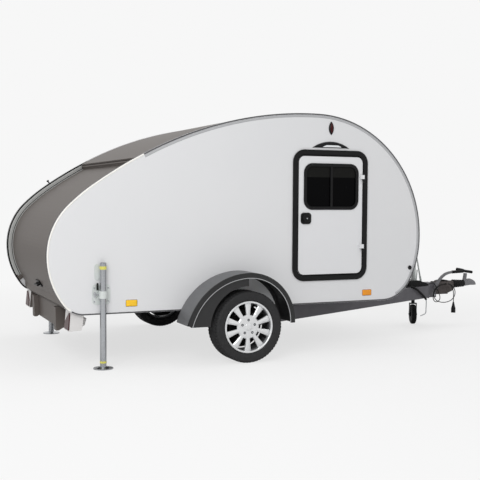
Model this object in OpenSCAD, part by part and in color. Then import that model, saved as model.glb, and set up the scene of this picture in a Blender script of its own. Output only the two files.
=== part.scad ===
// Teardrop trailer: a small sleeping cabin with a rear galley on a single axle.
// +X points to the coupling, +Y to the left side, +Z up. Millimetres.
// The drawing frame has X = 0 at the axle; placed() moves it to the middle of the footprint.

/* [Body] */
// Length of the body shell
body_l = 3276; // [2700:1:4000]
// Height of the body shell, from its underside to the top of the roof
body_h = 1583; // [1300:1:1950]
// Width over the two side walls
body_w = 1800; // [1500:1:2200]
// Height of the body's underside above the ground
body_z = 404; // [395:1:440]
// Distance from the axle back to the rearmost point of the body
rear_reach = 1522; // [1200:1:1850]
// Thickness of a side wall
wall_t = 30; // [20:1:45]
// Thickness of the roof and nose skin
skin_t = 28; // [18:1:40]
// Thickness of the cabin floor
floor_t = 40; // [25:1:60]
// Thickness of the bulkhead between cabin and galley
bulkhead_t = 20; // [12:1:35]

/* [Galley hatch] */
// Distance from the axle back to the hatch hinge
hinge_back = 790; // [650:1:900]
// Thickness of the hatch
hatch_t = 26; // [18:1:40]
// Depth of the hatch below the edges of the side walls
hatch_inset = 52; // [40:1:70]
// Width across the face of the aluminium rail inside each wall
rail_t = 10; // [6:1:16]
// Gap between the hatch and each side rail
hatch_gap = 6; // [5:1:12]
// Radius of the hinge barrel along the top of the hatch
hatch_barrel_r = 9; // [7:1:12]
// Height of the galley worktop above the floor
worktop_h = 470; // [350:1:560]

/* [Doors] */
// Outer width of the door frame
door_w = 710; // [600:1:800]
// Outer height of the door frame
door_h = 1088; // [900:1:1180]
// Height of the frame's lower edge above the body's underside
door_sill = 196; // [150:1:260]
// Distance from the axle to the rear edge of the door frame
door_x = 493; // [430:1:620]
// Face width of the black door frame
door_frame_w = 42; // [30:1:60]
// Outer corner radius of the door frame
door_r = 105; // [70:1:140]
// Gap between the door leaf and its frame
door_gap = 5; // [4:1:8]
// How far the frame stands out from the wall
door_proud = 12; // [8:1:20]
// Width of the window, over its rim
window_w = 522; // [400:1:540]
// Height of the window, over its rim
window_h = 386; // [300:1:440]
// Corner radius of the window
window_r = 80; // [50:1:110]
// Width of the window rim
window_rim = 26; // [16:1:40]
// Depth from the top of the leaf to the top of the window
window_drop = 64; // [50:1:120]

/* [Wheels and axle] */
// Radius of the tyre
tyre_r = 281; // [260:1:300]
// Width of the tyre
tyre_w = 190; // [165:1:215]
// Radius of the rim
rim_r = 205; // [180:1:215]
// Distance between the outer faces of the two tyres
over_tyres = 2300; // [2250:1:2400]
// Radius of the hub spigot that centres the rim
spigot_r = 30; // [25:1:36]
// Outer radius of the brake drum
drum_r = 130; // [100:1:150]
// Size of the square axle beam
beam_size = 60; // [45:1:70]
// How far the axle beam lies ahead of the wheel centres
arm_reach = 150; // [120:1:180]
// Radius of the front half of the fender arch
arch_front_r = 395; // [360:1:430]
// Radius of the long rear sweep of the fender
arch_rear_r = 535; // [480:1:600]
// Wall thickness of the fender
fender_t = 14; // [8:1:20]
// Width of the lip round the fender's outer edge
fender_lip = 38; // [25:1:50]

/* [Chassis] */
// Height of a drawbar rail
drawbar_h = 120; // [90:1:125]
// Width of a drawbar rail
drawbar_t = 50; // [35:1:60]
// Height of a rear chassis rail
chassis_h = 56; // [45:1:70]
// Distance from the axle to the tip of the coupling
tip_x = 3092; // [2900:1:3300]
// Height of the coupling ball's centre above the ground
ball_h = 420; // [400:1:440]
// Radius of the socket for the tow ball
ball_r = 25.2; // [24.9:0.1:25.6]

/* [Supports] */
// Radius of the support tubes
stand_tube_r = 24; // [18:1:28]
// Length of a rear support, foot to top
stand_l = 797; // [650:1:900]
// Distance from the axle back to the rear supports
stand_x = 1108; // [900:1:1200]
// Radius of a support's foot
foot_r = 75; // [50:1:90]
// Distance from the axle to the jockey wheel's tube
jockey_x = 2460; // [2440:1:2480]
// Distance from the centre line to the jockey wheel's tube
jockey_y = 190; // [180:1:215]
// Radius of the jockey wheel
jockey_r = 100; // [80:1:110]
// Width of the jockey wheel
jockey_w = 50; // [35:1:60]

/* [Hidden] */
$fn = 64;
fit = 0.3;          // gap between pieces that only touch
running = 0.06;     // radial clearance of a pin in its hole

// ---- side outline: arcs that follow on from each other, from the front of the
// underside round the nose, over the roof and down the tail: [radius, degrees turned]
outline_arcs = [
    [325, 61], [767, 26], [1016, 31], [1040, 61], [3111, 27],
    [3686, 9], [1453, 9.5], [530, 45], [603, 38], [196, 52.5]
];
arc_turn = 4;       // largest turn between two points, in degrees
arc_run = 60;       // largest distance between two points
outline_start = [1373, 409];

// arc_points: [x, z, heading] along one arc; walk: the same along arc i and all after it
function arc_points(p, h, r, turn) =
    let (n = ceil(max(turn / arc_turn, r * turn * PI / 180 / arc_run)))
    [for (k = [1:n]) let (a = h + turn * k / n)
        [p[0] + r * (sin(a) - sin(h)), p[1] + r * (cos(h) - cos(a)), a]];
function walk(i, p, h) =
    i >= len(outline_arcs) ? [] :
    let (pts = arc_points(p, h, outline_arcs[i][0], outline_arcs[i][1]), last = pts[len(pts) - 1])
    concat(pts, walk(i + 1, last, last[2]));
raw = concat([[outline_start[0], outline_start[1], 0]], walk(0, outline_start, 0));
raw_x = [for (p = raw) p[0]];
raw_z = [for (p = raw) p[1]];
scale_x = body_l / (max(raw_x) - min(raw_x));
scale_z = body_h / (max(raw_z) - min(raw_z));
last_i = len(raw) - 1;
rim_pts = [for (p = raw) [
    (p[0] - min(raw_x)) * scale_x - rear_reach,
    (p[1] - min(raw_z)) * scale_z + body_z]];
// unit normals that point into the body
rim_in = [for (p = raw) let (n = [-sin(p[2]) * scale_z, cos(p[2]) * scale_x]) n / norm(n)];
function inset_at(i, d) = rim_pts[i] + d * rim_in[i];
function inset_run(a, b, d) = [for (i = [a:b]) inset_at(i, d)];
function flipped(v) = [for (i = [len(v) - 1:-1:0]) v[i]];
// first outline point behind x on the roof, and last point above z on the tail
function on_tail(i) = raw[i][2] > 180;
function first_behind(x) = min([for (i = [0:last_i]) if (on_tail(i) && rim_pts[i][0] < x) i]);
function last_above(z) = max([for (i = [0:last_i]) if (on_tail(i) && rim_pts[i][1] > z) i]);

// ---- derived sizes
half_w = body_w / 2;
inner_y = half_w - wall_t;
shift_x = -(tip_x - rear_reach) / 2;
hinge_i = first_behind(-hinge_back);
sill_i = last_above(body_z + 34);
rail_end_i = last_above(body_z + 108);
hatch_pin_r = 5;
hinge_drop = hatch_inset - hatch_barrel_r - 14;
hinge_pos = inset_at(hinge_i, hinge_drop);
bulkhead_x = -430;
floor_z = body_z + 8;
floor_top = floor_z + floor_t;
floor_rear_x = rim_pts[last_i][0] + 12;
floor_front_x = rim_pts[0][0] - 4;

module placed() { translate([shift_x, 0, 0]) children(); }
// side pieces are drawn on the right; the left one is their mirror image
module on_side(side) { mirror([0, side == "left" ? 1 : 0, 0]) children(); }
// a plate from y0 to y1 whose outline is drawn in X and Z
module upright(y0, y1) {
    translate([0, y1, 0]) rotate([90, 0, 0]) linear_extrude(y1 - y0) children();
}
module rounded(w, h, r) {
    translate([r, 0]) square([w - 2 * r, h]);
    translate([0, r]) square([w, h - 2 * r]);
    for (x = [r, w - r], z = [r, h - r]) translate([x, z]) circle(r);
}
// round pieces that lie along Y or X, from p; r2 is the far end's radius where it tapers
module along_y(p, h, r) { translate(p) rotate([-90, 0, 0]) cylinder(h = h, r = r); }
module along_x(p, h, r, r2 = 0) {
    translate(p) rotate([0, 90, 0]) cylinder(h = h, r1 = r, r2 = r2 == 0 ? r : r2);
}
// a round bar between two points
module bar(a, b, r) {
    d = b - a;
    translate(a) rotate([0, acos(d[2] / norm(d)), atan2(d[1], d[0])]) cylinder(h = norm(d), r = r);
}
// round bars end to end, with a slightly fuller ball at each bend
module bars(pts, r) {
    for (i = [1:len(pts) - 1]) bar(pts[i - 1], pts[i], r);
    for (i = [1:len(pts) - 2]) translate(pts[i]) sphere(r * 1.12);
}
// the strip between two depths under the outline, from point a to point b
module shell(a, b, d0, d1) {
    polygon(concat(inset_run(a, b, d0), flipped(inset_run(a, b, d1))));
}

// ---- body shell
lining_t = 12;                                           // door frame's lining in the wall hole
door_z = body_z + door_sill;
module door_shape(d, grow = 0) {
    translate([door_x + d - grow, door_z + d - grow])
        rounded(door_w - 2 * (d - grow), door_h - 2 * (d - grow), door_r - d + grow);
}

module side_wall() {
    color("whitesmoke") difference() {
        upright(-half_w, -inner_y) polygon(inset_run(0, last_i, 0));
        upright(-half_w - 1, -inner_y + 1) door_shape(door_frame_w - lining_t);
        along_y([hinge_pos[0], -inner_y - 16, hinge_pos[1]], 17, hatch_pin_r + running);
    }
}
module roof_skin() {
    color("silver") difference() {
        upright(-inner_y + fit, inner_y - fit) shell(0, hinge_i, 3, 3 + skin_t);
        along_y([hinge_pos[0], -half_w, hinge_pos[1]], body_w, hatch_barrel_r + 5);
    }
}
module cabin_floor() {
    color("dimgray") translate([floor_rear_x, -inner_y + fit, floor_z])
        cube([floor_front_x - floor_rear_x, 2 * (inner_y - fit), floor_t]);
}
module bulkhead() {
    color("burlywood") intersection() {
        upright(-inner_y + fit, inner_y - fit) polygon(inset_run(0, last_i, 3 + skin_t + fit));
        translate([bulkhead_x, -half_w, floor_top + fit]) cube([bulkhead_t, body_w, body_h]);
    }
}
worktop_t = 24;
worktop_rear = -rear_reach + 300;
cabinet_t = 18;
cupboards = 3;                                           // openings in the galley's front
stile_w = 60;                                            // upright between two openings
kick_h = 70;                                             // board under the openings
cupboard_pitch = (2 * (inner_y - fit) - stile_w) / cupboards;
module galley_unit() {
    top_z = floor_top + worktop_h;
    front_h = worktop_h - worktop_t;
    color("burlywood") translate([0, -inner_y + fit, 0]) {
        translate([worktop_rear, 0, top_z - worktop_t])
            cube([bulkhead_x - fit - worktop_rear, 2 * (inner_y - fit), worktop_t]);
        translate([worktop_rear + 60, 0, floor_top + fit]) difference() {
            cube([cabinet_t, 2 * (inner_y - fit), front_h - fit + 1]);
            for (k = [0:cupboards - 1]) translate([-1, stile_w + k * cupboard_pitch, kick_h])
                cube([cabinet_t + 2, cupboard_pitch - stile_w, front_h - kick_h - 50]);
        }
    }
}

// ---- galley hatch
hatch_half = inner_y - rail_t - hatch_gap;
// inset of the hatch's face: steady down to the end of the rails, then easing out to the edge
function hatch_face(i) = i <= rail_end_i ? hatch_inset :
    hatch_inset + (8 - hatch_inset) * (i - rail_end_i) / (sill_i - rail_end_i);
function hatch_run(d) = [for (i = [hinge_i:sill_i]) inset_at(i, hatch_face(i) + d)];
module hatch_rails() {
    color("gainsboro") for (s = ["right", "left"]) on_side(s) difference() {
        upright(-inner_y + fit, -inner_y + rail_t) shell(hinge_i, rail_end_i, 3, hatch_inset + 6);
        along_y([hinge_pos[0], -half_w, hinge_pos[1]], wall_t + rail_t + 20, hatch_barrel_r + 5);
    }
}
module hatch_panel() {
    n = rim_in[hinge_i];
    color("rosybrown") {
        upright(-hatch_half, hatch_half) union() {
            polygon(concat(hatch_run(0), flipped(hatch_run(hatch_t))));
            // leaf that joins the panel to its hinge barrel
            translate(hinge_pos) rotate(atan2(n[1], n[0])) translate([0, -6])
                square([hatch_inset - hinge_drop + hatch_t, 12]);
            translate(hinge_pos) circle(hatch_barrel_r);
        }
        along_y([hinge_pos[0], -inner_y - 14, hinge_pos[1]], 2 * (inner_y + 14), hatch_pin_r);
    }
}
handle_i = last_above(body_z + 112);
module hatch_handle() {
    p = inset_at(handle_i, hatch_face(handle_i));
    n = rim_in[handle_i];
    color("black") translate([p[0], 0, p[1]]) rotate([0, -atan2(n[1], n[0]), 0]) {
        translate([-10 - fit, -70, -28]) cube([10, 140, 56]);
        translate([-30 - fit, -55, -8]) cube([21, 14, 16]);
        translate([-30 - fit, 41, -8]) cube([21, 14, 16]);
        along_y([-30 - fit, -60, 0], 120, 9);
    }
}

// ---- doors
leaf_face = half_w + 4;                                  // distance of the leaf's face from the centre
leaf_d = door_frame_w + door_gap;
door_axis = [door_x + door_w - door_frame_w - door_gap / 2, -(half_w + door_proud + 9)];
hinge_r = 8;
hinge_pin_r = 4;
hinge_h = 34;
hinge_zs = [door_z + 230, door_z + door_h - 270];        // foot of each hinge
window_x = door_x + door_w / 2 - window_w / 2 + 6;
window_z = door_z + door_h - leaf_d - window_drop - window_h;
module window_shape(d) {
    translate([window_x + d, window_z + d]) rounded(window_w - 2 * d, window_h - 2 * d, window_r - d);
}

module door_frame() {
    color("black") {
        upright(-half_w - door_proud, -half_w - fit) difference() {
            door_shape(0);
            door_shape(door_frame_w);
        }
        upright(-half_w - 1, -inner_y) difference() {
            door_shape(door_frame_w - lining_t + fit);
            door_shape(door_frame_w);
        }
        for (z = hinge_zs) translate([door_axis[0], door_axis[1], z]) {
            cylinder(h = hinge_h - fit, r = hinge_r);
            cylinder(h = 2 * hinge_h - 8, r = hinge_pin_r);
            cube([26, 10, hinge_h - fit]);
        }
    }
}
module door_leaf() {
    color("whitesmoke") {
        upright(-leaf_face, -leaf_face + wall_t) difference() {
            door_shape(leaf_d);
            window_shape(10);
        }
        for (z = hinge_zs) translate([door_axis[0], door_axis[1], z + hinge_h]) difference() {
            union() {
                cylinder(h = hinge_h, r = hinge_r);
                translate([-30, 0, 0]) cube([30, 9, hinge_h]);
                translate([-30, 0, 0]) cube([20, -door_axis[1] - leaf_face + 1, hinge_h]);
            }
            translate([0, 0, -1]) cylinder(h = hinge_h - 6, r = hinge_pin_r + running);
        }
    }
}
rim_out = 6;                                             // window rim proud of the leaf
glass_t = 4;
module window_rim() {
    color("black") {
        upright(-leaf_face - rim_out, -leaf_face - fit) difference() {
            window_shape(0);
            window_shape(window_rim);
        }
        upright(-leaf_face - 1, -leaf_face + wall_t) difference() {
            window_shape(10 + fit);
            window_shape(window_rim);
        }
        // upright bar in the middle of the window
        translate([window_x + window_w / 2 - 10, -leaf_face - rim_out, window_z + window_rim - 1])
            cube([20, rim_out + 6, window_h - 2 * window_rim + 2]);
    }
}
module window_glass() {
    color("black") upright(-leaf_face + 7, -leaf_face + 7 + glass_t) window_shape(window_rim + fit);
}
handle_c = [door_x + 121, door_z + 520];
module door_handle() {
    color("black") {
        upright(-leaf_face - 9, -leaf_face - fit)
            translate([handle_c[0] - 47, handle_c[1] - 47]) rounded(94, 94, 26);
        along_y([handle_c[0], -leaf_face - 22, handle_c[1]], 14, 30);
    }
}

// ---- lamps on the walls, each drawn by its middle [x, z]
lamp_out = 14;
module side_lamps() {
    color("black") for (s = ["right", "left"]) on_side(s) {
        // upright pointed lamp
        upright(-half_w - lamp_out, -half_w - fit) intersection() {
            translate([849 + 58, 1870]) circle(82);
            translate([849 - 58, 1870]) circle(82);
        }
        // crescent lamp over the door
        upright(-half_w - lamp_out - 6, -half_w - fit) intersection() {
            translate([848, door_z + door_h + 67 - 322]) circle(322);
            translate([640, door_z + door_h + 14]) square([420, 60]);
        }
        // orange side marker and rear reflector
        for (c = [[1216, 482], [-878, 481]])
            upright(-half_w - lamp_out + 3, -half_w - fit)
                translate([c[0] - 46, c[1] - 26]) rounded(92, 52, 8);
    }
}

// ---- rear bumper, under the hatch: upright blocks [y0, y1, rear x, lowest z]
bumper_blocks = [
    [-400, 400, -1320, 246], [-700, -479, -1286, 262], [479, 700, -1286, 262],
    [-480, -399, -1364, 238], [399, 480, -1364, 238]
];
pod_y = [700, 870];
pod_x = -1350;
pod_z = 282;
pod_lean = 14;                                           // top of a pod's rear face leans in by this
pod_h = body_z + 44 - pod_z;
pod_slope = atan2(pod_lean, pod_h);
module bumper_shape(x, z) {
    top = inset_at(sill_i + 2, 4);
    polygon([[x, z], [x + 20, z], [x + 95, z + 40], [x + 125, body_z + 12],
        [top[0] + 30, top[1] - 4], [x - 6, top[1] - 12]]);
}
module rear_bumper() {
    color("rosybrown") difference() {
        union() {
            upright(-inner_y + fit, inner_y - fit) shell(sill_i + 1, last_i, 2, 22);
            for (b = bumper_blocks) upright(b[0], b[1]) bumper_shape(b[2], b[3]);
            for (s = ["right", "left"]) on_side(s) upright(-inner_y + fit, -pod_y[0]) polygon([
                [pod_x, pod_z], [pod_x + 96, pod_z + 6], [pod_x + 112, body_z + 14],
                [pod_x + pod_lean, pod_z + pod_h]
            ]);
        }
        // keeps clear of the body's outline line at the bottom corner and of the floor
        upright(-half_w, half_w) polygon(concat(inset_run(sill_i, last_i, 22.5),
            [[floor_rear_x - fit, floor_top + 100], [-rear_reach, floor_top + 100]]));
        translate([floor_rear_x - fit, -half_w, body_z - 50]) cube([400, body_w, 400]);
    }
}
module tail_lamps() {
    color("darkred") for (s = ["right", "left"]) on_side(s) translate([pod_x, -inner_y, pod_z])
        rotate([0, pod_slope, 0]) translate([-8 - fit, 0, 10]) rotate([90, 0, 90]) linear_extrude(8)
        polygon([[6, 0], [150, 0], [132, 60], [38, 128], [12, 128]]);
}

// ---- fenders
arch_lift = 30;                                          // arch centre above the wheel centre
arch_top = tyre_r + arch_lift + arch_front_r;
fender_y = over_tyres / 2;
arch_rear_foot = 316;
arch_front_foot = 300;
function arch_arc(r, z0, a0, a1) =
    [for (k = [0:24]) let (a = a0 + (a1 - a0) * k / 24) [r * cos(a), z0 + r * sin(a)]];
function arch_line(d) =
    let (rf = arch_front_r - d, rr = arch_rear_r - d,
         zf = arch_top - arch_front_r, zr = arch_top - arch_rear_r)
    concat(arch_arc(rf, zf, asin((arch_front_foot - zf) / rf), 90),
           arch_arc(rr, zr, 90, 180 - asin((arch_rear_foot - zr) / rr)));
module arch_band(d0, d1) { polygon(concat(arch_line(d0), flipped(arch_line(d1)))); }
module fender() {
    color("dimgray") {
        upright(-fender_y, -half_w - fit) arch_band(0, fender_t);
        upright(-fender_y - 6, -fender_y + 8) arch_band(2, fender_lip);
        // liner between the rear sweep and the tyre
        upright(-fender_y + 20, -fender_y + 30) difference() {
            polygon(concat(arch_line(fender_t - 2),
                [[-arch_rear_r + 60, arch_front_foot], [arch_front_r - 30, arch_front_foot]]));
            translate([0, tyre_r]) circle(tyre_r + 40);
            translate([-tyre_r - 40, 0]) square([2 * tyre_r + 80, tyre_r]);
            square([arch_front_r, arch_top]);
        }
        // inner flange on the wall
        upright(-half_w - 6, -half_w - fit) arch_band(2, fender_lip);
    }
}

// ---- axle and wheels
wheel_y = over_tyres / 2 - tyre_w / 2;
beam_z = body_z + 8 - fit - chassis_h - fit - beam_size / 2;  // the chassis rails lie on the beam
stub_r = 16;
drum_y = [wheel_y - 80, wheel_y - 20];                   // inner and outer face of the drum
arm_y = [half_w + 12, half_w + 42];                      // inner and outer face of an arm
face_y = wheel_y + 30;                                   // inner face of the rim's spokes
module axle() {
    color("dimgray") {
        translate([arm_reach - beam_size / 2, -arm_y[0] - 1, beam_z - beam_size / 2])
            cube([beam_size, 2 * arm_y[0] + 2, beam_size]);
        for (s = ["right", "left"]) on_side(s) {
            upright(-arm_y[1], -arm_y[0]) {
                translate([arm_reach, beam_z]) circle(46);
                translate([0, tyre_r]) circle(36);
                translate([0, tyre_r]) rotate(atan2(beam_z - tyre_r, arm_reach)) translate([0, -28])
                    square([norm([arm_reach, beam_z - tyre_r]), 56]);
            }
            along_y([0, -face_y + 12, tyre_r], face_y - 12 - arm_y[0] - 5, stub_r);
        }
    }
}
module hub() {
    color("gray") difference() {
        union() {
            along_y([0, -drum_y[1], tyre_r], drum_y[1] - drum_y[0], drum_r);
            along_y([0, -face_y - 16, tyre_r], face_y + 16 - drum_y[1] + 5, spigot_r);
            along_y([0, -face_y + fit, tyre_r], face_y - fit - drum_y[1] + 5, 62);
        }
        along_y([0, -face_y + 6, tyre_r], face_y, stub_r + running);
    }
}
section_w = 190;                                         // width that the section below is drawn for
bead_half = 78;
module tyre() {
    // half section: [radius, half width]
    section = [
        [rim_r - 5 + fit, bead_half], [rim_r + 1, bead_half], [rim_r + 8, 86], [rim_r + 24, 92],
        [rim_r + 42, 95], [tyre_r - 19, 93], [tyre_r - 9, 87], [tyre_r - 3, 79], [tyre_r, 68]
    ];
    wide = tyre_w / section_w;
    color("black") translate([0, -wheel_y, tyre_r]) rotate([90, 0, 0]) rotate_extrude($fn = 96)
        polygon(concat([for (p = section) [p[0], -p[1] * wide]],
            flipped([for (p = section) [p[0], p[1] * wide]])));
}
spokes = 10;
module rim() {
    bead = bead_half * tyre_w / section_w;
    color("silver") translate([0, -wheel_y, tyre_r]) rotate([90, 0, 0]) difference() {
        union() {
            // barrel, inner flange and bright outer lip
            rotate_extrude($fn = 96) polygon([
                [rim_r - 17, -bead], [rim_r - 5, -bead], [rim_r - 5, bead + fit], [rim_r, bead + fit],
                [rim_r, bead + 8], [rim_r - 13, bead + 8], [rim_r - 17, bead]
            ]);
            translate([0, 0, face_y - wheel_y]) linear_extrude(24) difference() {
                circle(rim_r - 14);
                for (k = [0:spokes - 1]) rotate(k * 360 / spokes) polygon([
                    [82, -13], [rim_r - 28, -38], [rim_r - 24, 0], [rim_r - 28, 38], [82, 13]
                ]);
            }
            translate([0, 0, face_y - wheel_y + 20]) cylinder(h = 14, r = 68);
        }
        translate([0, 0, face_y - wheel_y - 1]) cylinder(h = 18 + running, r = spigot_r + running);
    }
}

// ---- chassis and drawbar
rail_pitch = 2.05;                                       // degrees the drawbar climbs
rail_yaw = 15.3;                                         // degrees each rail turns in
rail_start = [arm_reach + beam_size / 2 + fit, 720, 222];
rail_end_x = 2416;
rail_l = (rail_end_x - rail_start[0]) / cos(rail_pitch) / cos(rail_yaw);
function rail_bottom(x) = rail_start[2] + (x - rail_start[0]) * tan(rail_pitch) / cos(rail_yaw);
function rail_y(x) = rail_start[1] - (x - rail_start[0]) * tan(rail_yaw);
chassis_z = floor_z - fit - chassis_h;
chassis_x = floor_rear_x + 30;
chassis_l = 1560;
module chassis_rails() {
    color("dimgray") {
        for (y = [-450, 400]) translate([chassis_x, y, chassis_z]) cube([chassis_l, 50, chassis_h]);
    }
}
// bearer that carries the front of the floor on the two drawbar rails
bearer_x = 1255;
bearer_l = 40;
bearer_z = rail_bottom(bearer_x + bearer_l) + drawbar_h / cos(rail_pitch) + 2 * fit;
module cross_members() {
    color("dimgray") {
        for (x = [80, 620, chassis_l - 60])
            translate([chassis_x + x, -400 + fit, chassis_z]) cube([40, 800 - 2 * fit, chassis_h]);
        translate([bearer_x, -rail_y(bearer_x) - drawbar_t, bearer_z])
            cube([bearer_l, 2 * (rail_y(bearer_x) + drawbar_t), floor_z - fit - bearer_z]);
    }
}
module drawbar_rail() {
    color("dimgray") difference() {
        translate([rail_start[0], -rail_start[1] - drawbar_t / 2, rail_start[2]])
            rotate([0, 0, rail_yaw]) rotate([0, -rail_pitch, 0])
            translate([-60, 0, 0]) cube([rail_l + 120, drawbar_t, drawbar_h]);
        translate([rail_start[0] - 400, -half_w, 0]) cube([400, body_w, 600]);
        translate([rail_end_x - fit, -half_w, 0]) cube([400, body_w, 600]);
    }
}
// sloping cover over the front of the two rails: [x, height] of its top, from the rear
cover_top = [[2190, 56], [2300, 56], [2404, 22]];
module drawbar_cover() {
    x0 = cover_top[0][0];
    x1 = cover_top[2][0];
    z0 = rail_bottom(x1) + drawbar_h / cos(rail_pitch) + 2 * fit;
    color("dimgray") upright(-140, 140)
        polygon(concat([for (p = cover_top) [p[0], z0 + p[1]]], [[x1, z0], [x0, z0]]));
}

// ---- coupling: everything but the lever and the hook is on the centre line
bracket_x = [rail_end_x, 2554];
bracket_z = [300, 442];
bracket_half = 72;                                       // outer face of a side plate
plate_t = 10;
gland_pos = [2440, -84, 372];                            // foot of the cable's gland
gland_h = 22;
module coupling_bracket() {
    l = bracket_x[1] - bracket_x[0];
    h = bracket_z[1] - bracket_z[0];
    color("dimgray") translate([bracket_x[0], 0, bracket_z[0]]) {
        translate([0, -134, 0]) cube([plate_t, 268, h]);
        for (y = [-bracket_half, bracket_half - plate_t]) translate([0, y, 0]) cube([l, plate_t, h]);
        for (z = [0, h - plate_t]) translate([0, -70, z]) cube([l, 140, plate_t]);
    }
    color("dimgray") translate(gland_pos) cylinder(h = gland_h, r = 13);
}
housing_x = [bracket_x[1], 2745, 2790];                  // rear end, start of the taper, front end
housing_z = 392;
housing_r = [62, 47];
hook_pos = [2640, -132, 425];                            // end of the cable's hook
hook_r = 6;
module overrun_housing() {
    color("slategray") {
        along_x([housing_x[0] + fit, 0, housing_z], housing_x[1] - housing_x[0] - fit, housing_r[0]);
        along_x([housing_x[1], 0, housing_z], housing_x[2] - housing_x[1], housing_r[0], housing_r[1]);
        translate([housing_x[0] + fit, -housing_r[0], 326]) cube([150, 2 * housing_r[0], 66]);
        // shaft guide that the bellows clip round
        along_x([housing_x[1], 0, ball_h], housing_x[2] + 8 - housing_x[1], 34);
        // hook that the cable hangs on
        along_y(hook_pos, 90, hook_r);
        translate(hook_pos) cylinder(h = 24, r = hook_r);
    }
}
bellows_x = [housing_x[2] + 8 + fit, 2942];
module bellows() {
    ribs = 6;
    pitch = (bellows_x[1] - bellows_x[0]) / ribs;
    color("black") for (k = [0:ribs - 1]) {
        along_x([bellows_x[0] + k * pitch, 0, ball_h], pitch / 2 + 0.5, 34, 43 - 1.5 * k);
        along_x([bellows_x[0] + (k + 0.5) * pitch, 0, ball_h], pitch / 2, 43 - 1.5 * k, 34);
    }
}
socket_x = tip_x - 52;
grip_r = 15;
handle_z = ball_h + 122;                                 // lifting handle's middle, over its post
post_top = handle_z - grip_r * 1.12 - 4 * fit;           // clear of the handle where it slopes down
module coupling_head() {
    color("gray") difference() {
        union() {
            along_x([bellows_x[1] + fit, 0, ball_h], socket_x - bellows_x[1], 30);
            translate([socket_x, 0, ball_h - 14]) cylinder(h = 50, r = 38);
            translate([socket_x, 0, ball_h + 20]) intersection() {
                sphere(52);
                translate([0, 0, -20]) cylinder(h = 40, r = 52);
            }
            translate([2948, -18, ball_h]) cube([40, 36, post_top - ball_h]);
        }
        translate([socket_x, 0, ball_h - 60]) cylinder(h = 60, r = ball_r);
        translate([socket_x, 0, ball_h]) sphere(ball_r);
    }
}
module coupling_handle() {
    color("black") bars([[2864, 0, ball_h + 146], [2968, 0, handle_z], [3046, 0, ball_h + 112]], grip_r);
}
lever_y = -bracket_half - fit - 11.7;                    // middle of the handbrake lever
module handbrake_lever() {
    color("silver") {
        bars([[2536, lever_y, 412], [2586, lever_y, 479], [2650, lever_y, 529], [2737, lever_y, 549]], 11);
        bar([2731, lever_y, 548], [2875, lever_y, 552], 16);
        along_y([2536, -98, 404], 98 - bracket_half - fit, 24);
    }
}

// ---- jockey wheel
jockey_tube_z = [250, 700];
crank_z = jockey_tube_z[1] + 14;
clamp_foot = 348;
clamp_h = 60;
module jockey_clamp() {
    color("gray") {
        difference() {
            union() {
                translate([jockey_x, jockey_y, clamp_foot]) cylinder(h = clamp_h, r = stand_tube_r + 14);
                translate([jockey_x - 22, bracket_half + fit, clamp_foot])
                    cube([44, jockey_y - bracket_half - fit, clamp_h]);
            }
            translate([jockey_x, jockey_y, clamp_foot - 1]) cylinder(h = clamp_h + 2, r = stand_tube_r + fit);
        }
        // locking lever
        bar([jockey_x + 30, jockey_y, clamp_foot + 46], [jockey_x + 46, jockey_y, 557], 6);
    }
}
module jockey_tube() {
    color("silver") {
        difference() {
            translate([jockey_x, jockey_y, jockey_tube_z[0]])
                cylinder(h = jockey_tube_z[1] - jockey_tube_z[0], r = stand_tube_r);
            translate([jockey_x, jockey_y, jockey_tube_z[0] - 1]) cylinder(h = 201, r = 18 + running);
        }
        translate([jockey_x, jockey_y, jockey_tube_z[1] - 1]) cylinder(h = 24, r = 14);
        // folded crank: arm, rod and grip
        bar([jockey_x, jockey_y, crank_z], [jockey_x + 36, jockey_y, crank_z], 10);
        bar([jockey_x + 30, jockey_y, crank_z + 6], [jockey_x + 86, jockey_y, crank_z - 246], 8);
        bar([jockey_x + 82, jockey_y, crank_z - 228], [jockey_x + 103, jockey_y, crank_z - 324], 11);
    }
}
jockey_yaw = 24;                                         // degrees the wheel is swivelled out of line
module jockey_fork() {
    cheek_x = jockey_w / 2 + 6;                          // inner face of a cheek
    color("gray") translate([jockey_x, jockey_y, 0]) rotate([0, 0, -jockey_yaw]) {
        translate([0, 0, 2 * jockey_r + 14]) cylinder(h = 200, r = 18);
        translate([-cheek_x - 6, -22, 2 * jockey_r + 6]) cube([2 * (cheek_x + 6), 44, 10]);
        for (x = [-cheek_x - 6, cheek_x]) translate([x, -18, jockey_r - 20]) cube([6, 36, jockey_r + 30]);
        along_x([-jockey_w / 2 - 18, 0, jockey_r], jockey_w + 36, 8);
    }
}
module jockey_wheel() {
    half = jockey_w / 2;
    color("black") translate([jockey_x, jockey_y, jockey_r]) rotate([0, 90, -jockey_yaw]) difference() {
        union() {
            rotate_extrude() polygon([
                [20, -half], [jockey_r - 12, -half], [jockey_r - 3, -half + 6], [jockey_r, -half + 16],
                [jockey_r, half - 16], [jockey_r - 3, half - 6], [jockey_r - 12, half], [20, half]
            ]);
            cylinder(h = jockey_w + 8, r = 24, center = true);
        }
        cylinder(h = jockey_w + 20, r = 8 + running, center = true);
    }
}

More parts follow.
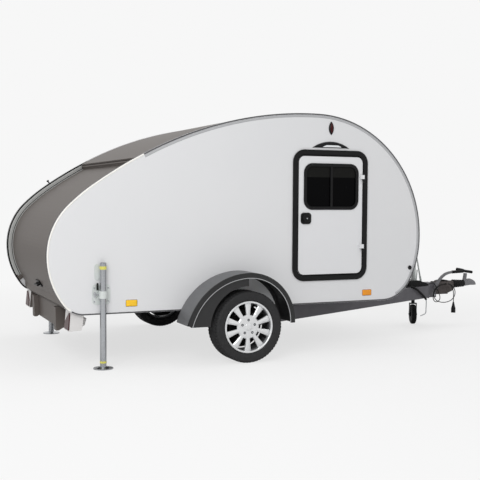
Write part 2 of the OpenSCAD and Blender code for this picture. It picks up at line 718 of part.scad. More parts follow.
// ---- rear supports
stand_y = half_w + 30;
clamp_z = [480, 634];
module stand_clamps() {
    color("gainsboro") for (s = ["right", "left"]) on_side(s) difference() {
        union() {
            upright(-half_w - 5, -half_w - fit)
                translate([-stand_x - 76, clamp_z[0]]) rounded(138, clamp_z[1] - clamp_z[0], 30);
            translate([-stand_x, -stand_y, clamp_z[0] + 50]) cylinder(h = 56, r = stand_tube_r + 9);
            translate([-stand_x - 33, -stand_y, clamp_z[0] + 50]) cube([66, 27, 56]);
            upright(-half_w - 5, -half_w - fit) translate([-stand_x - 60, 664]) rounded(42, 122, 20);
        }
        translate([-stand_x, -stand_y, clamp_z[0] - 40]) cylinder(h = 400, r = stand_tube_r + fit);
        translate([-stand_x - 100, -half_w - fit, 0]) cube([200, 60, 2 * clamp_z[1]]);
    }
}
module stand_leg() {
    color("silver") translate([-stand_x, -stand_y, 0]) {
        difference() {
            cylinder(h = stand_l, r = stand_tube_r);
            translate([0, 0, 20]) cylinder(h = stand_l, r = stand_tube_r - 3);
        }
        cylinder(h = 7, r = foot_r);
        translate([0, 0, 6]) cylinder(h = 10, r1 = foot_r - 18, r2 = stand_tube_r + 4);
    }
}

// ---- towing cable: route points chosen by hand, [x, y, z] in the drawing frame
cable_r = 4;
cable_sides = 8;
cable_step = 26;
cable_route = [
    [2440, -84, 395], [2440, -84, 405], [2447, -86, 428], [2463, -91, 443], [2486, -96, 447],
    [2509, -100, 436], [2531, -103, 404], [2549, -103, 371], [2566, -103, 338],
    [2577, -104, 308], [2575, -105, 282], [2559, -106, 263], [2534, -107, 256], [2510, -109, 263],
    [2494, -110, 283], [2490, -111, 312], [2499, -112, 348], [2522, -112, 384], [2556, -112, 413],
    [2598, -112, 430], [2640, -112, 436], [2690, -112, 428], [2732, -113, 400], [2755, -113, 356],
    [2748, -114, 308], [2712, -115, 270], [2660, -116, 252], [2606, -117, 249], [2550, -118, 260],
    [2508, -119, 288], [2488, -120, 330], [2497, -121, 376], [2532, -121, 411], [2584, -121, 430],
    [2640, -121, 436], [2686, -122, 424], [2716, -123, 390], [2728, -123, 344], [2730, -123, 296],
    [2730, -123, 250]
];
function catmull(a, b, c, d, t) = 0.5 * (2 * b + (c - a) * t
    + (2 * a - 5 * b + 4 * c - d) * t * t + (3 * b - a - 3 * c + d) * t * t * t);
cable_last = len(cable_route) - 1;
cable_pts = concat([for (i = [0:cable_last - 1])
    let (a = cable_route[max(i - 1, 0)], b = cable_route[i],
         c = cable_route[i + 1], d = cable_route[min(i + 2, cable_last)],
         n = ceil(norm(c - b) / cable_step))
    for (k = [0:n - 1]) catmull(a, b, c, d, k / n)], [cable_route[cable_last]]);
cable_n = len(cable_pts);
function unit(v) = v / norm(v);
cable_dir = [for (i = [0:cable_n - 1])
    unit(cable_pts[min(i + 1, cable_n - 1)] - cable_pts[max(i - 1, 0)])];
// carries one cross direction along the cable so that the rings don't twist
function carried(i, u) = i >= cable_n ? [] :
    let (v = unit(u - (u * cable_dir[i]) * cable_dir[i])) concat([v], carried(i + 1, v));
cable_up = carried(0, [0, 1, 0]);
module tow_cable() {
    color("black") polyhedron(
        points = [for (i = [0:cable_n - 1]) let (u = cable_up[i], w = cross(cable_dir[i], u))
            for (k = [0:cable_sides - 1]) let (a = 360 * k / cable_sides)
            cable_pts[i] + cable_r * (cos(a) * u + sin(a) * w)],
        faces = concat(
            [[for (k = [cable_sides - 1:-1:0]) k]],
            [for (i = [0:cable_n - 2], k = [0:cable_sides - 1]) let (m = (k + 1) % cable_sides)
                [i * cable_sides + k, i * cable_sides + m,
                 (i + 1) * cable_sides + m, (i + 1) * cable_sides + k]],
            [[for (k = [0:cable_sides - 1]) (cable_n - 1) * cable_sides + k]]));
}
module tow_plug() {
    end = cable_route[cable_last];
    color("black") translate([end[0], end[1], 0]) {
        translate([0, 0, end[2] - 32 - fit]) cylinder(h = 31.4, r1 = 13, r2 = 7);
        translate([0, 0, end[2] - 60 - fit]) cylinder(h = 29, r1 = 20, r2 = 13);
        translate([0, 0, end[2] - 108 - fit]) cylinder(h = 49, r = 22);
    }
}

placed() on_side("right") side_wall();  // side_wall_right
placed() on_side("left") side_wall();  // side_wall_left
placed() roof_skin();
placed() cabin_floor();
placed() bulkhead();
placed() galley_unit();
placed() hatch_rails();
placed() hatch_panel();
placed() hatch_handle();
placed() on_side("right") door_frame();  // door_frame_right
placed() on_side("left") door_frame();  // door_frame_left
placed() on_side("right") door_leaf();  // door_leaf_right
placed() on_side("left") door_leaf();  // door_leaf_left
placed() on_side("right") window_rim();  // window_rim_right
placed() on_side("left") window_rim();  // window_rim_left
placed() on_side("right") window_glass();  // window_glass_right
placed() on_side("left") window_glass();  // window_glass_left
placed() on_side("right") door_handle();  // door_handle_right
placed() on_side("left") door_handle();  // door_handle_left
placed() side_lamps();
placed() rear_bumper();
placed() tail_lamps();
placed() on_side("right") fender();  // fender_right
placed() on_side("left") fender();  // fender_left
placed() axle();
placed() on_side("right") hub();  // hub_right
placed() on_side("left") hub();  // hub_left
placed() on_side("right") tyre();  // tyre_right
placed() on_side("left") tyre();  // tyre_left
placed() on_side("right") rim();  // rim_right
placed() on_side("left") rim();  // rim_left
placed() chassis_rails();
placed() cross_members();
placed() on_side("right") drawbar_rail();  // drawbar_rail_right
placed() on_side("left") drawbar_rail();  // drawbar_rail_left
placed() drawbar_cover();
placed() coupling_bracket();
placed() overrun_housing();
placed() bellows();
placed() coupling_head();
placed() coupling_handle();
placed() handbrake_lever();
placed() jockey_clamp();
placed() jockey_tube();
placed() jockey_fork();
placed() jockey_wheel();
placed() stand_clamps();
placed() on_side("right") stand_leg();  // stand_leg_right
placed() on_side("left") stand_leg();  // stand_leg_left
placed() tow_cable();
placed() tow_plug();
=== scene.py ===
# %% [markdown]
# # A teardrop trailer, from a fixed frame to a finished picture
# The construction of this trailer is already made: every panel, tube and wheel is in the frame at its
# real size. This lesson adds what a paint shop, a tyre maker and a photographer add: finishes, seals,
# tread, lamps, bolts, a cable, light and a camera. Everything is in metres, +X points to the coupling,
# +Z is up, and the right side of the trailer is at -Y.

# %% Load the frame
import math

import bmesh
import bpy
from mathutils import Matrix, Vector
from mathutils.geometry import convex_hull_2d


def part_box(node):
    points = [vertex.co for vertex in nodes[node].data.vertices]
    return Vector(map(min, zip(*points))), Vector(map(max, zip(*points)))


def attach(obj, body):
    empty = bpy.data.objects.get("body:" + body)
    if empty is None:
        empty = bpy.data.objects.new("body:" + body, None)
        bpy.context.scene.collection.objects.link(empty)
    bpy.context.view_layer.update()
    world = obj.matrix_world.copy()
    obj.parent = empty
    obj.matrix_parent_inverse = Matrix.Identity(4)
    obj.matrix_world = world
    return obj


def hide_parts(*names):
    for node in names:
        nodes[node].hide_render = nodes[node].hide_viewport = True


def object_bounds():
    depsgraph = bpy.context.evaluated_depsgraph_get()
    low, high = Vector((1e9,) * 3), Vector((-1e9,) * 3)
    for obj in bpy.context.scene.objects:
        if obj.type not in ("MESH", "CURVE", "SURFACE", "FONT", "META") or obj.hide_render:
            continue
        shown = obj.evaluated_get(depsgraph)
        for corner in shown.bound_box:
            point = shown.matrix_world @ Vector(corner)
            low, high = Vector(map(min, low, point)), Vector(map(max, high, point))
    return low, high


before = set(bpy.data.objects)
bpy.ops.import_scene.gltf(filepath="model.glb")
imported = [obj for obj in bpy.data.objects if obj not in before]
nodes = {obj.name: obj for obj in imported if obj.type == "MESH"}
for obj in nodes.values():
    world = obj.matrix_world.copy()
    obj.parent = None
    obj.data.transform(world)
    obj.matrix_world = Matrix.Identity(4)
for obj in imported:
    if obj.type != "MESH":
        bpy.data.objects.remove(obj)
cad_low, cad_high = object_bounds()
print("trailer", [round(b - a, 3) for a, b in zip(cad_low, cad_high)], "m")

# %% [markdown]
# ## The camera
# A long lens set well back keeps the wheel round and the wall flat, as in a catalogue picture. The
# camera's three axes are worked out from three angles: yaw turns it, pitch tips it down, and roll is the
# last small tilt. Writing them as vectors avoids any doubt about the order of the turns.

# %% Set the camera
camera_at = Vector((-3.619, -7.334, 1.294))
yaw, pitch, roll = (math.radians(a) for a in (23.94, 2.80, 0.35))
forward = Vector((math.sin(yaw) * math.cos(pitch), math.cos(yaw) * math.cos(pitch), -math.sin(pitch)))
level_right = Vector((math.cos(yaw), -math.sin(yaw), 0))
level_up = level_right.cross(forward)
right = math.cos(roll) * level_right + math.sin(roll) * level_up
up = math.cos(roll) * level_up - math.sin(roll) * level_right
lens = bpy.data.cameras.new("camera")
lens.lens = 66.0
lens.sensor_width = 36.0
camera = bpy.data.objects.new("camera", lens)
turn = Matrix((right, up, -forward)).transposed().to_4x4()
camera.matrix_world = Matrix.Translation(camera_at) @ turn
bpy.context.scene.collection.objects.link(camera)
bpy.context.scene.camera = camera
print("camera at", tuple(round(v, 2) for v in camera_at))

# %% [markdown]
# ## Colours and nodes
# Colours are written as hex numbers, as a paint chart gives them. Blender calculates with linear light,
# so one function converts them. A second one adds a node to a material: a setting that is the name of an
# input fills that input, and any other is a property of the node.

# %% Two helpers for materials
def hex_colour(code):
    parts = [int(code[i : i + 2], 16) / 255 for i in (1, 3, 5)]
    linear = [c / 12.92 if c <= 0.04045 else ((c + 0.055) / 1.055) ** 2.4 for c in parts]
    return (*linear, 1.0)


def empty_tree(owner):
    """The cleared node tree of a material or a world."""
    owner.use_nodes = True
    owner.node_tree.nodes.clear()
    return owner.node_tree


def add(tree, kind, settings=None, links=None):
    made = tree.nodes.new(kind)
    for key, value in (settings or {}).items():
        if isinstance(value, str) and value.startswith("#"):
            value = hex_colour(value)
        if isinstance(key, int) or key in made.inputs:
            made.inputs[key].default_value = value
        else:
            setattr(made, key, value)
    for key, socket in (links or {}).items():
        tree.links.new(socket, made.inputs[key])
    return made


# %% [markdown]
# ## How a finish is built
# Real surfaces are never one flat colour. Each finish here has a base colour that drifts a little, a
# roughness, and a fine relief. The size of the drift and of the relief are given in millimetres, and
# a noise texture's scale is one over that size, because object coordinates are in metres.

# %% The start of every finish
def start(name, colour, drift, drift_mm, **shader):
    made = bpy.data.materials.new(name)
    tree = empty_tree(made)
    place = add(tree, "ShaderNodeTexCoord").outputs["Object"]
    noise = add(tree, "ShaderNodeTexNoise", {"Scale": 1000 / drift_mm, "Detail": 4.0}, {"Vector": place})
    tone = add(
        tree,
        "ShaderNodeMix",
        {"data_type": "RGBA", 6: colour, 7: drift},
        {0: noise.outputs["Fac"]},
    )
    bsdf = add(tree, "ShaderNodeBsdfPrincipled", shader, {"Base Color": tone.outputs[2]})
    add(tree, "ShaderNodeOutputMaterial", {}, {"Surface": bsdf.outputs[0]})
    return made, tree, place, tone.outputs[2], bsdf


def relief(tree, place, bsdf, size_mm, height_mm):
    noise = add(tree, "ShaderNodeTexNoise", {"Scale": 1000 / size_mm, "Detail": 2.0}, {"Vector": place})
    bump = add(
        tree,
        "ShaderNodeBump",
        {"Strength": 1.0, "Distance": height_mm / 1000},
        {"Height": noise.outputs["Fac"]},
    )
    tree.links.new(bump.outputs[0], bsdf.inputs["Normal"])


def finish(name, colour, drift, drift_mm, grain_mm, grain_height_mm, **shader):
    made, tree, place, _, bsdf = start(name, colour, drift, drift_mm, **shader)
    relief(tree, place, bsdf, grain_mm, grain_height_mm)
    return made


# %% [markdown]
# ## Two colours in one finish
# Some parts are painted in two colours with a straight border. A comparison gives 1 on one side of a
# border and 0 on the other, two of them can be combined, and the result lays the second colour over the
# first.

# %% Helpers for borders
def above(tree, value, low):
    return add(tree, "ShaderNodeMath", {"operation": "GREATER_THAN", 1: low}, {0: value}).outputs[0]


def below(tree, value, high):
    return add(tree, "ShaderNodeMath", {"operation": "LESS_THAN", 1: high}, {0: value}).outputs[0]


def combine(tree, operation, first, second):
    return add(tree, "ShaderNodeMath", {"operation": operation}, {0: first, 1: second}).outputs[0]


def axis_of(tree, vector, name):
    return add(tree, "ShaderNodeSeparateXYZ", {}, {0: vector}).outputs[name]


def distance_from_middle(tree, place):
    """Distance from the centre line, the same on both sides."""
    return add(tree, "ShaderNodeMath", {"operation": "ABSOLUTE"}, {0: axis_of(tree, place, "Y")}).outputs[0]


def over(tree, bsdf, first, second, factor):
    """Lay the second colour over the first where the factor is 1."""
    both = add(tree, "ShaderNodeMix", {"data_type": "RGBA", 7: second}, {0: factor, 6: first})
    tree.links.new(both.outputs[2], bsdf.inputs["Base Color"])
    return both.outputs[2]


# %% [markdown]
# ## Wall panels
# The walls are sandwich panels with a lacquered aluminium face, rolled flat. A thin clear coat gives a
# soft highlight over a very slight orange peel a few millimetres across. The cut edge is closed by a
# black rubber profile: it is told from the face by its normal, which has no part along Y.

# %% Wall finish
def wall_panel():
    made, tree, place, tone, bsdf = start(
        "lacquered aluminium sandwich panel", "#dededf", "#d8d9db", 900,
        Roughness=0.34, IOR=1.5, **{"Coat Weight": 0.12, "Coat Roughness": 0.1},
    )
    normal = add(tree, "ShaderNodeNewGeometry").outputs["True Normal"]
    steepest = 0.5
    along_y = axis_of(tree, normal, "Y")
    is_edge = combine(tree, "MULTIPLY", above(tree, along_y, -steepest), below(tree, along_y, steepest))
    over(tree, bsdf, tone, "#1b1b1d", is_edge)
    relief(tree, place, bsdf, 9, 0.02)
    return made


# %% [markdown]
# ## Bronze metallic coat
# The roof, hatch and bumper wear a satin metallic lacquer: aluminium flakes in a brown-grey base. Flakes
# are far finer than a millimetre, so they are drawn 5 mm wide to show at all. The two outer lamp pods of
# the bumper, and its front underneath, are left in the pale colour of the walls.

# %% Bronze finish
pod_inner_y = 0.70
pod_front_x = -2.023
pod_top_z = 0.447


def bronze_coat():
    made, tree, place, tone, bsdf = start(
        "metallic lacquer, bronze", "#6b6561", "#5b5551", 5,
        Metallic=0.15, Roughness=0.46, **{"Specular IOR Level": 0.12},
    )
    is_pod = above(tree, distance_from_middle(tree, place), pod_inner_y)
    is_front = above(tree, axis_of(tree, place, "X"), pod_front_x)
    is_low = below(tree, axis_of(tree, place, "Z"), pod_top_z)
    pale = combine(tree, "MULTIPLY", combine(tree, "MAXIMUM", is_pod, is_front), is_low)
    over(tree, bsdf, tone, "#d9d7d6", pale)
    relief(tree, place, bsdf, 14, 0.02)
    return made


# %% [markdown]
# ## Plywood
# The bulkhead and the galley are oiled birch plywood. Its figure is stretched along the sheet, so the
# noise is squeezed in one direction. Oil leaves it only a little glossy.

# %% Plywood finish
def birch_plywood():
    made, tree, place, _, bsdf = start(
        "oiled birch plywood", "#c9a878", "#b8935f", 60, Roughness=0.5, IOR=1.46
    )
    stretched = add(tree, "ShaderNodeMapping", {"Scale": (6.0, 0.5, 6.0)}, {"Vector": place})
    figure = add(
        tree, "ShaderNodeTexNoise", {"Scale": 14.0, "Detail": 5.0}, {"Vector": stretched.outputs[0]}
    )
    tone = add(
        tree,
        "ShaderNodeMix",
        {"data_type": "RGBA", 6: "#d0b084", 7: "#a9824f"},
        {0: figure.outputs["Fac"]},
    )
    tree.links.new(tone.outputs[2], bsdf.inputs["Base Color"])
    relief(tree, place, bsdf, 3, 0.05)
    return made


# %% [markdown]
# ## The other finishes
# The rest share one recipe. What changes is the base colour, how far it drifts, how rough it is and how
# coarse its relief is: cast iron is lumpy, moulded plastic has a fine leather grain, zinc has soft
# spangles, and lacquered alloy is nearly smooth. Metals keep the default IOR.

# %% Make the finishes
lacquer = {"Coat Weight": 0.5, "Coat Roughness": 0.05}
matt = {"Specular IOR Level": 0.18}
tyre_sheen = {"Specular IOR Level": 0.3}
chalky = {"Specular IOR Level": 0.05}
wall = wall_panel()
bronze = bronze_coat()
plywood = birch_plywood()
floor_board = finish("phenolic plywood", "#2b2724", "#1f1c1a", 40, 2.5, 0.08, Roughness=0.5)
anodised = finish(
    "anodised aluminium", "#b9bab8", "#aeafad", 80, 1.5, 0.01, Metallic=0.5, Roughness=0.42
)
trim_light = finish("powder coated aluminium edge", "#b4b5b7", "#abacae", 120, 2, 0.02, Roughness=0.4)
trim_dark = finish("rubber edge bead, grey", "#5b5b5d", "#505052", 90, 2, 0.03, Roughness=0.6, **matt)
white_bead = finish("white vinyl bead", "#f3f1ec", "#ebe9e4", 90, 2, 0.01, Roughness=0.35)
black_plastic = finish(
    "moulded ABS, fine grain", "#0e0e0f", "#151516", 30, 1.2, 0.04, Roughness=0.42, **matt
)
rubber = finish("moulded rubber", "#0d0d0e", "#151516", 25, 1.5, 0.05, Roughness=0.6, **matt)
seal_rubber = finish("foamed rubber seal", "#0a0a0a", "#101010", 15, 2, 0.1, Roughness=0.9, **chalky)
tyre_rubber = finish(
    "vulcanised tyre rubber", "#2b2b2c", "#222223", 35, 2, 0.06, Roughness=0.7, **tyre_sheen
)
alloy = finish(
    "lacquered cast alloy", "#e3e4e5", "#d9dadb", 60, 6, 0.02, Metallic=0.55, Roughness=0.3, **lacquer
)
# The barrel's darker grey is painted shade: the inside of the wheel, seen dim.
shaded_barrel_alloy = finish(
    "painted wheel barrel", "#5d5e60", "#4b4c4e", 40, 5, 0.03, Metallic=0.4, Roughness=0.5
)
# Near black that paints shade: the plate behind the spokes and the pits round the bolts.
shadow_paint = finish("painted shade, near black", "#0b0b0b", "#121212", 30, 5, 0.1, Roughness=0.8, **matt)
drum_iron = finish(
    "machined cast iron", "#1d1b1a", "#141313", 18, 2, 0.1, Metallic=0.3, Roughness=0.7, **matt
)
chassis_paint = finish("powder coated steel", "#6b6a6e", "#5f5e62", 70, 2.5, 0.06, Roughness=0.5, **matt)
axle_paint = finish("stoved chassis enamel", "#141415", "#1b1b1c", 60, 2.5, 0.06, Roughness=0.5, **matt)
casting = finish("primed iron casting", "#5b5553", "#454140", 22, 3, 0.25, Roughness=0.66, **matt)
head_paint = finish("grey painted pressing", "#77777a", "#69696c", 30, 3, 0.06, Roughness=0.45)
zinc = finish("bright zinc plate", "#b7b9bc", "#9fa2a6", 12, 3, 0.02, Metallic=0.9, Roughness=0.24)
galvanised = finish(
    "galvanised pressing", "#d5dad8", "#c5cac8", 16, 3, 0.05, Metallic=0.25, Roughness=0.42
)
yellow_band = finish("yellow vinyl tape", "#d9d468", "#cfc95a", 20, 2, 0.02, Roughness=0.45)
sheath = finish("PVC cable sheath", "#0f0f10", "#161617", 20, 1.5, 0.03, Roughness=0.55, **matt)
amber = finish("amber acrylic lens", "#f09a1a", "#e48c12", 12, 4, 0.25, Roughness=0.2)
yellow_lens = finish("yellow acrylic lens", "#fbcb24", "#f2bb16", 12, 4, 0.25, Roughness=0.2)
clear_lens = finish("frosted acrylic lens", "#eef0f1", "#dfe2e4", 12, 4, 0.2, Roughness=0.25)
dark_red = finish("smoked red acrylic lens", "#45090d", "#30070a", 14, 5, 0.25, Roughness=0.25, **matt)
print(len(bpy.data.materials), "plain finishes")

# %% [markdown]
# ## Finishes with a border in them
# Four more parts are moulded or painted in two tones: the glazing has a half-drawn blind behind its upper
# third, the door's hinge side is black, the fender has painted shade inside and a dark turned lip, and a
# hatch rail is painted bronze at its foot.

# %% Glazing, doors and hatch rails
blind_z = 1.462
tinted, tree, place, tone, bsdf = start(
    "tinted acrylic glazing", "#040405", "#060607", 400,
    Roughness=0.12, IOR=1.49, **{"Specular IOR Level": 0.04},
)
over(tree, bsdf, tone, "#1b1b1a", above(tree, axis_of(tree, place, "Z"), blind_z))
relief(tree, place, bsdf, 200, 0.02)

hinge_side_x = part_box("window_rim_right")[1][0] + 0.050
door_finish, tree, place, tone, bsdf = start(
    "lacquered door panel, black hinge side", "#e0e0e2", "#dadbdd", 900, Roughness=0.34, IOR=1.5
)
over(tree, bsdf, tone, "#0e0e0f", above(tree, axis_of(tree, place, "X"), hinge_side_x))
relief(tree, place, bsdf, 9, 0.02)

rail_foot_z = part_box("hatch_rails")[0][2] + 0.055
rail_finish, tree, place, tone, bsdf = start(
    "anodised aluminium, bronze foot", "#c4c5c3", "#b9bab8", 80, Metallic=0.3, Roughness=0.42
)
over(tree, bsdf, tone, "#615b57", below(tree, axis_of(tree, place, "Z"), rail_foot_z))
relief(tree, place, bsdf, 1.5, 0.01)
print("blind above", blind_z, "m, hinge side past", round(hinge_side_x, 3), "m")

# %% [markdown]
# ## The fender's painted shade inside
# The faces inside the arch are painted near black, as the shade that falls under the fender. The inside
# can't be told from the outside by height or by side, but its faces look towards the wheel. The dot
# product of a face's normal and the way from the hub to the face is large outside and small or negative
# inside.

# %% Fender finish
wheel_x = (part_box("tyre_right")[0][0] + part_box("tyre_right")[1][0]) / 2
wheel_z = (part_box("tyre_right")[0][2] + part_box("tyre_right")[1][2]) / 2
facing_out = 0.03
lip_y = 1.1415
fender_finish, tree, place, tone, bsdf = start(
    "moulded polypropylene, painted shade inside", "#68696b", "#5e5f61", 60, Roughness=0.5
)
hub_at = (wheel_x, 0, wheel_z)
from_hub = add(tree, "ShaderNodeVectorMath", {"operation": "SUBTRACT", 1: hub_at}, {0: place})
flat = add(tree, "ShaderNodeVectorMath", {"operation": "MULTIPLY", 1: (1, 0, 1)}, {0: from_hub.outputs[0]})
true_normal = add(tree, "ShaderNodeNewGeometry").outputs["True Normal"]
turned_out = add(
    tree, "ShaderNodeVectorMath", {"operation": "DOT_PRODUCT"}, {0: flat.outputs[0], 1: true_normal}
)
# Faces turned towards the wheel are painted near black as shade under the arch.
painted_shade_inside_tone = over(tree, bsdf, tone, "#1a1a1b", below(tree, turned_out.outputs["Value"], facing_out))
over(tree, bsdf, painted_shade_inside_tone, "#101112", above(tree, distance_from_middle(tree, place), lip_y))
relief(tree, place, bsdf, 2.2, 0.12)
print(len(bpy.data.materials), "finishes")

# %% [markdown]
# ## Dress the frame
# A frame node whose shape is already right only needs its finish. A table of finish and node names
# reads better than fifty lines of the same assignment, and the loop covers both sides.

# %% Give each frame node its finish
def pair(*names):
    return [name + side for name in names for side in ("_right", "_left")]


dressing = [
    (wall, pair("side_wall")),
    (door_finish, pair("door_leaf")),
    (bronze, ["roof_skin", "hatch_panel", "rear_bumper"]),
    (plywood, ["bulkhead", "galley_unit"]),
    (floor_board, ["cabin_floor"]),
    (rail_finish, ["hatch_rails"]),
    (black_plastic, pair("door_frame", "window_rim", "door_handle")),
    (black_plastic, ["hatch_handle", "drawbar_cover", "tow_plug"]),
    (tinted, pair("window_glass")),
    (dark_red, ["tail_lamps"]),
    (fender_finish, pair("fender")),
    (axle_paint, ["axle", "jockey_fork"]),
    (drum_iron, pair("hub")),
    (chassis_paint, ["chassis_rails", "cross_members", "coupling_bracket"]),
    (chassis_paint, pair("drawbar_rail")),
    (casting, ["overrun_housing"]),
    (rubber, ["bellows", "jockey_wheel"]),
    (galvanised, ["jockey_clamp", "jockey_tube", "stand_clamps"]),
    (zinc, pair("stand_leg")),
]
for material, names in dressing:
    for name in names:
        for slot in nodes[name].material_slots:
            slot.link = "OBJECT"
            slot.material = material
print(sum(len(names) for _, names in dressing), "frame nodes dressed")

# %% [markdown]
# ## Making pieces
# Added pieces are plain meshes. One function turns points and faces into an object, gives it a finish,
# rounds its shading and makes it ride on a body of the frame. A sweep carries a closed section along a
# line of stations, which covers seals, tubes and beads alike. Small parts whose places were measured from
# the axle are written in millimetres and moved into the frame by one more function.

# %% Helpers for meshes
def piece(name, points, faces, material, body, slot, smooth_degrees=35):
    mesh = bpy.data.meshes.new(name)
    mesh.from_pydata([tuple(p) for p in points], [], faces)
    shaped = bmesh.new()
    shaped.from_mesh(mesh)
    bmesh.ops.recalc_face_normals(shaped, faces=shaped.faces)
    for edge in shaped.edges:
        edge.smooth = not edge.is_manifold or edge.calc_face_angle(0) < math.radians(smooth_degrees)
    for face in shaped.faces:
        face.smooth = True
    shaped.to_mesh(mesh)
    shaped.free()
    mesh.materials.append(material)
    made = bpy.data.objects.new(name, mesh)
    bpy.context.scene.collection.objects.link(made)
    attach(made, body)
    return made


to_row = Vector((-0.785, 0, 0))


def in_row(points):
    """Points in millimetres from the axle, as points of the frame in metres."""
    return [Vector(p) / 1000 + to_row for p in points]


def out_from(at, sign, distances):
    """Points at these distances from a point, along Y and away from the centre line."""
    return [at + Vector((0, sign * distance, 0)) for distance in distances]


def swept(rings, closed=False):
    """Points and faces of a skin over rings that all have the same number of points."""
    count, size = len(rings), len(rings[0])
    points = [p for ring in rings for p in ring]
    faces = []
    for i in range(count if closed else count - 1):
        for k in range(size):
            a, b = i * size, (i + 1) % count * size
            faces.append((a + k, a + (k + 1) % size, b + (k + 1) % size, b + k))
    if not closed:
        faces += [tuple(range(size))[::-1], tuple((count - 1) * size + k for k in range(size))]
    return points, faces


def joined(parts):
    """One list of points and faces from several."""
    points, faces = [], []
    for more_points, more_faces in parts:
        shift = len(points)
        points += list(more_points)
        faces += [tuple(i + shift for i in face) for face in more_faces]
    return points, faces


def tube(line, radius, sides=16):
    """A round bar along a line of points; radius is one number, or one for each point."""
    line = [Vector(p) for p in line]
    radii = [radius] * len(line) if isinstance(radius, (int, float)) else radius
    last = len(line) - 1
    across = None
    rings = []
    for i, (point, r) in enumerate(zip(line, radii)):
        ahead = (line[min(i + 1, last)] - line[max(i - 1, 0)]).normalized()
        guess = across or ahead.orthogonal()
        across = (guess - guess.dot(ahead) * ahead).normalized()
        other = ahead.cross(across)
        angles = [2 * math.pi * k / sides for k in range(sides)]
        rings.append([point + r * (math.cos(a) * across + math.sin(a) * other) for a in angles])
    return swept(rings)


def smooth_line(knots, step):
    """Points about a step apart on a smooth curve through the knots."""
    knots = [Vector(k) for k in knots]
    last = len(knots) - 1
    line = []
    for i in range(last):
        a, b, c, d = knots[max(i - 1, 0)], knots[i], knots[i + 1], knots[min(i + 2, last)]
        count = max(1, math.ceil((c - b).length / step))
        for k in range(count):
            t = k / count
            line.append(
                0.5 * (
                    2 * b + (c - a) * t + (2 * a - 5 * b + 4 * c - d) * t**2
                    + (3 * b - a - 3 * c + d) * t**3
                )
            )
    return line + [knots[-1]]


# %% [markdown]
# ## The trailer cable
# A seven-wire cable about 8 mm thick leaves its gland on the coupling bracket, is wound over a hook on
# the housing and hangs with its plug down. It has one fixed length, so it is drawn first, on the
# same route points as the frame's solid, as a curve with a round bevel.

# %% Cable
cable_route = [
    (2440, -84, 395), (2440, -84, 405), (2447, -86, 428), (2463, -91, 443), (2486, -96, 447),
    (2509, -100, 436), (2531, -103, 404), (2549, -103, 371), (2566, -103, 338),
    (2577, -104, 308), (2575, -105, 282), (2559, -106, 263), (2534, -107, 256), (2510, -109, 263),
    (2494, -110, 283), (2490, -111, 312), (2499, -112, 348), (2522, -112, 384), (2556, -112, 413),
    (2598, -112, 430), (2640, -112, 436), (2690, -112, 428), (2732, -113, 400), (2755, -113, 356),
    (2748, -114, 308), (2712, -115, 270), (2660, -116, 252), (2606, -117, 249), (2550, -118, 260),
    (2508, -119, 288), (2488, -120, 330), (2497, -121, 376), (2532, -121, 411), (2584, -121, 430),
    (2640, -121, 436), (2686, -122, 424), (2716, -123, 390), (2728, -123, 344), (2730, -123, 296),
    (2730, -123, 250),
]
cable_line = smooth_line(in_row(cable_route), 0.012)
cable_curve = bpy.data.curves.new("trailer_cable", "CURVE")
cable_curve.dimensions = "3D"
cable_curve.bevel_depth = 0.004
cable_curve.bevel_resolution = 4
spline = cable_curve.splines.new("POLY")
spline.points.add(len(cable_line) - 1)
for point, place in zip(spline.points, cable_line):
    point.co = (*place, 1)
cable_curve.materials.append(sheath)
cable = bpy.data.objects.new("trailer_cable", cable_curve)
bpy.context.scene.collection.objects.link(cable)
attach(cable, "trailer")
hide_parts("tow_cable")

# %% [markdown]
# ## The edge of the body
# The body's outline is convex, so the hull of a side wall's points is that outline. Each station on it
# has a normal that points into the body, and a strip's section is given as depth under the edge and
# distance out from the centre line. The same function then makes the dark and light edge beads, the
# white bead and the rubber seal on the tail, and the details of the hatch rails, on both sides.

# %% Outline of the side wall
wall_points = [Vector((v.co.x, v.co.z)) for v in nodes["side_wall_right"].data.vertices]
outline = [wall_points[i] for i in convex_hull_2d(wall_points)]
middle = sum(outline, Vector((0, 0))) / len(outline)
inward = []
for i, point in enumerate(outline):
    run = outline[(i + 1) % len(outline)] - outline[i - 1]
    normal = Vector((-run.y, run.x)).normalized()
    inward.append(normal if normal.dot(middle - point) > 0 else -normal)
wall_face_y = -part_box("side_wall_right")[0][1]
wall_inner_y = -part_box("side_wall_right")[1][1]
hinge_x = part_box("hatch_panel")[1][0]
print(len(outline), "stations on the outline, wall face at", round(wall_face_y, 3), "m")


def stations(keep):
    """Indices of the outline's stations that pass a test, in one unbroken run."""
    size = len(outline)
    good = [keep(p) for p in outline]
    first = next((i for i in range(size) if good[i] and not good[i - 1]), 0)
    run = []
    while len(run) < size and good[(first + len(run)) % size]:
        run.append((first + len(run)) % size)
    return run


def edge_strip(section, keep, side):
    """A strip along the outline. section lists (depth under the edge, distance from the centre line)."""
    run = stations(keep)
    rings = []
    for i in run:
        ring = []
        for depth, out in section:
            flat = outline[i] + depth * inward[i]
            ring.append((flat.x, side * out, flat.y))
        rings.append(ring)
    return swept(rings, closed=len(run) == len(outline))


sides = {"right": -1, "left": 1}


def both_sides(section, keep):
    return joined([edge_strip(section, keep, side) for side in sides.values()])


# %% Stretches of the outline
body_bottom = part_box("side_wall_right")[0][2]
bottom_band = 0.03
overlap = 0.02


def is_tail(p):
    return p.x <= hinge_x + overlap and p.y >= body_bottom + bottom_band


def is_front(p):
    return p.x > hinge_x - overlap and p.y >= body_bottom + bottom_band


def not_tail(p):
    return not is_tail(p) or p.x > hinge_x - overlap


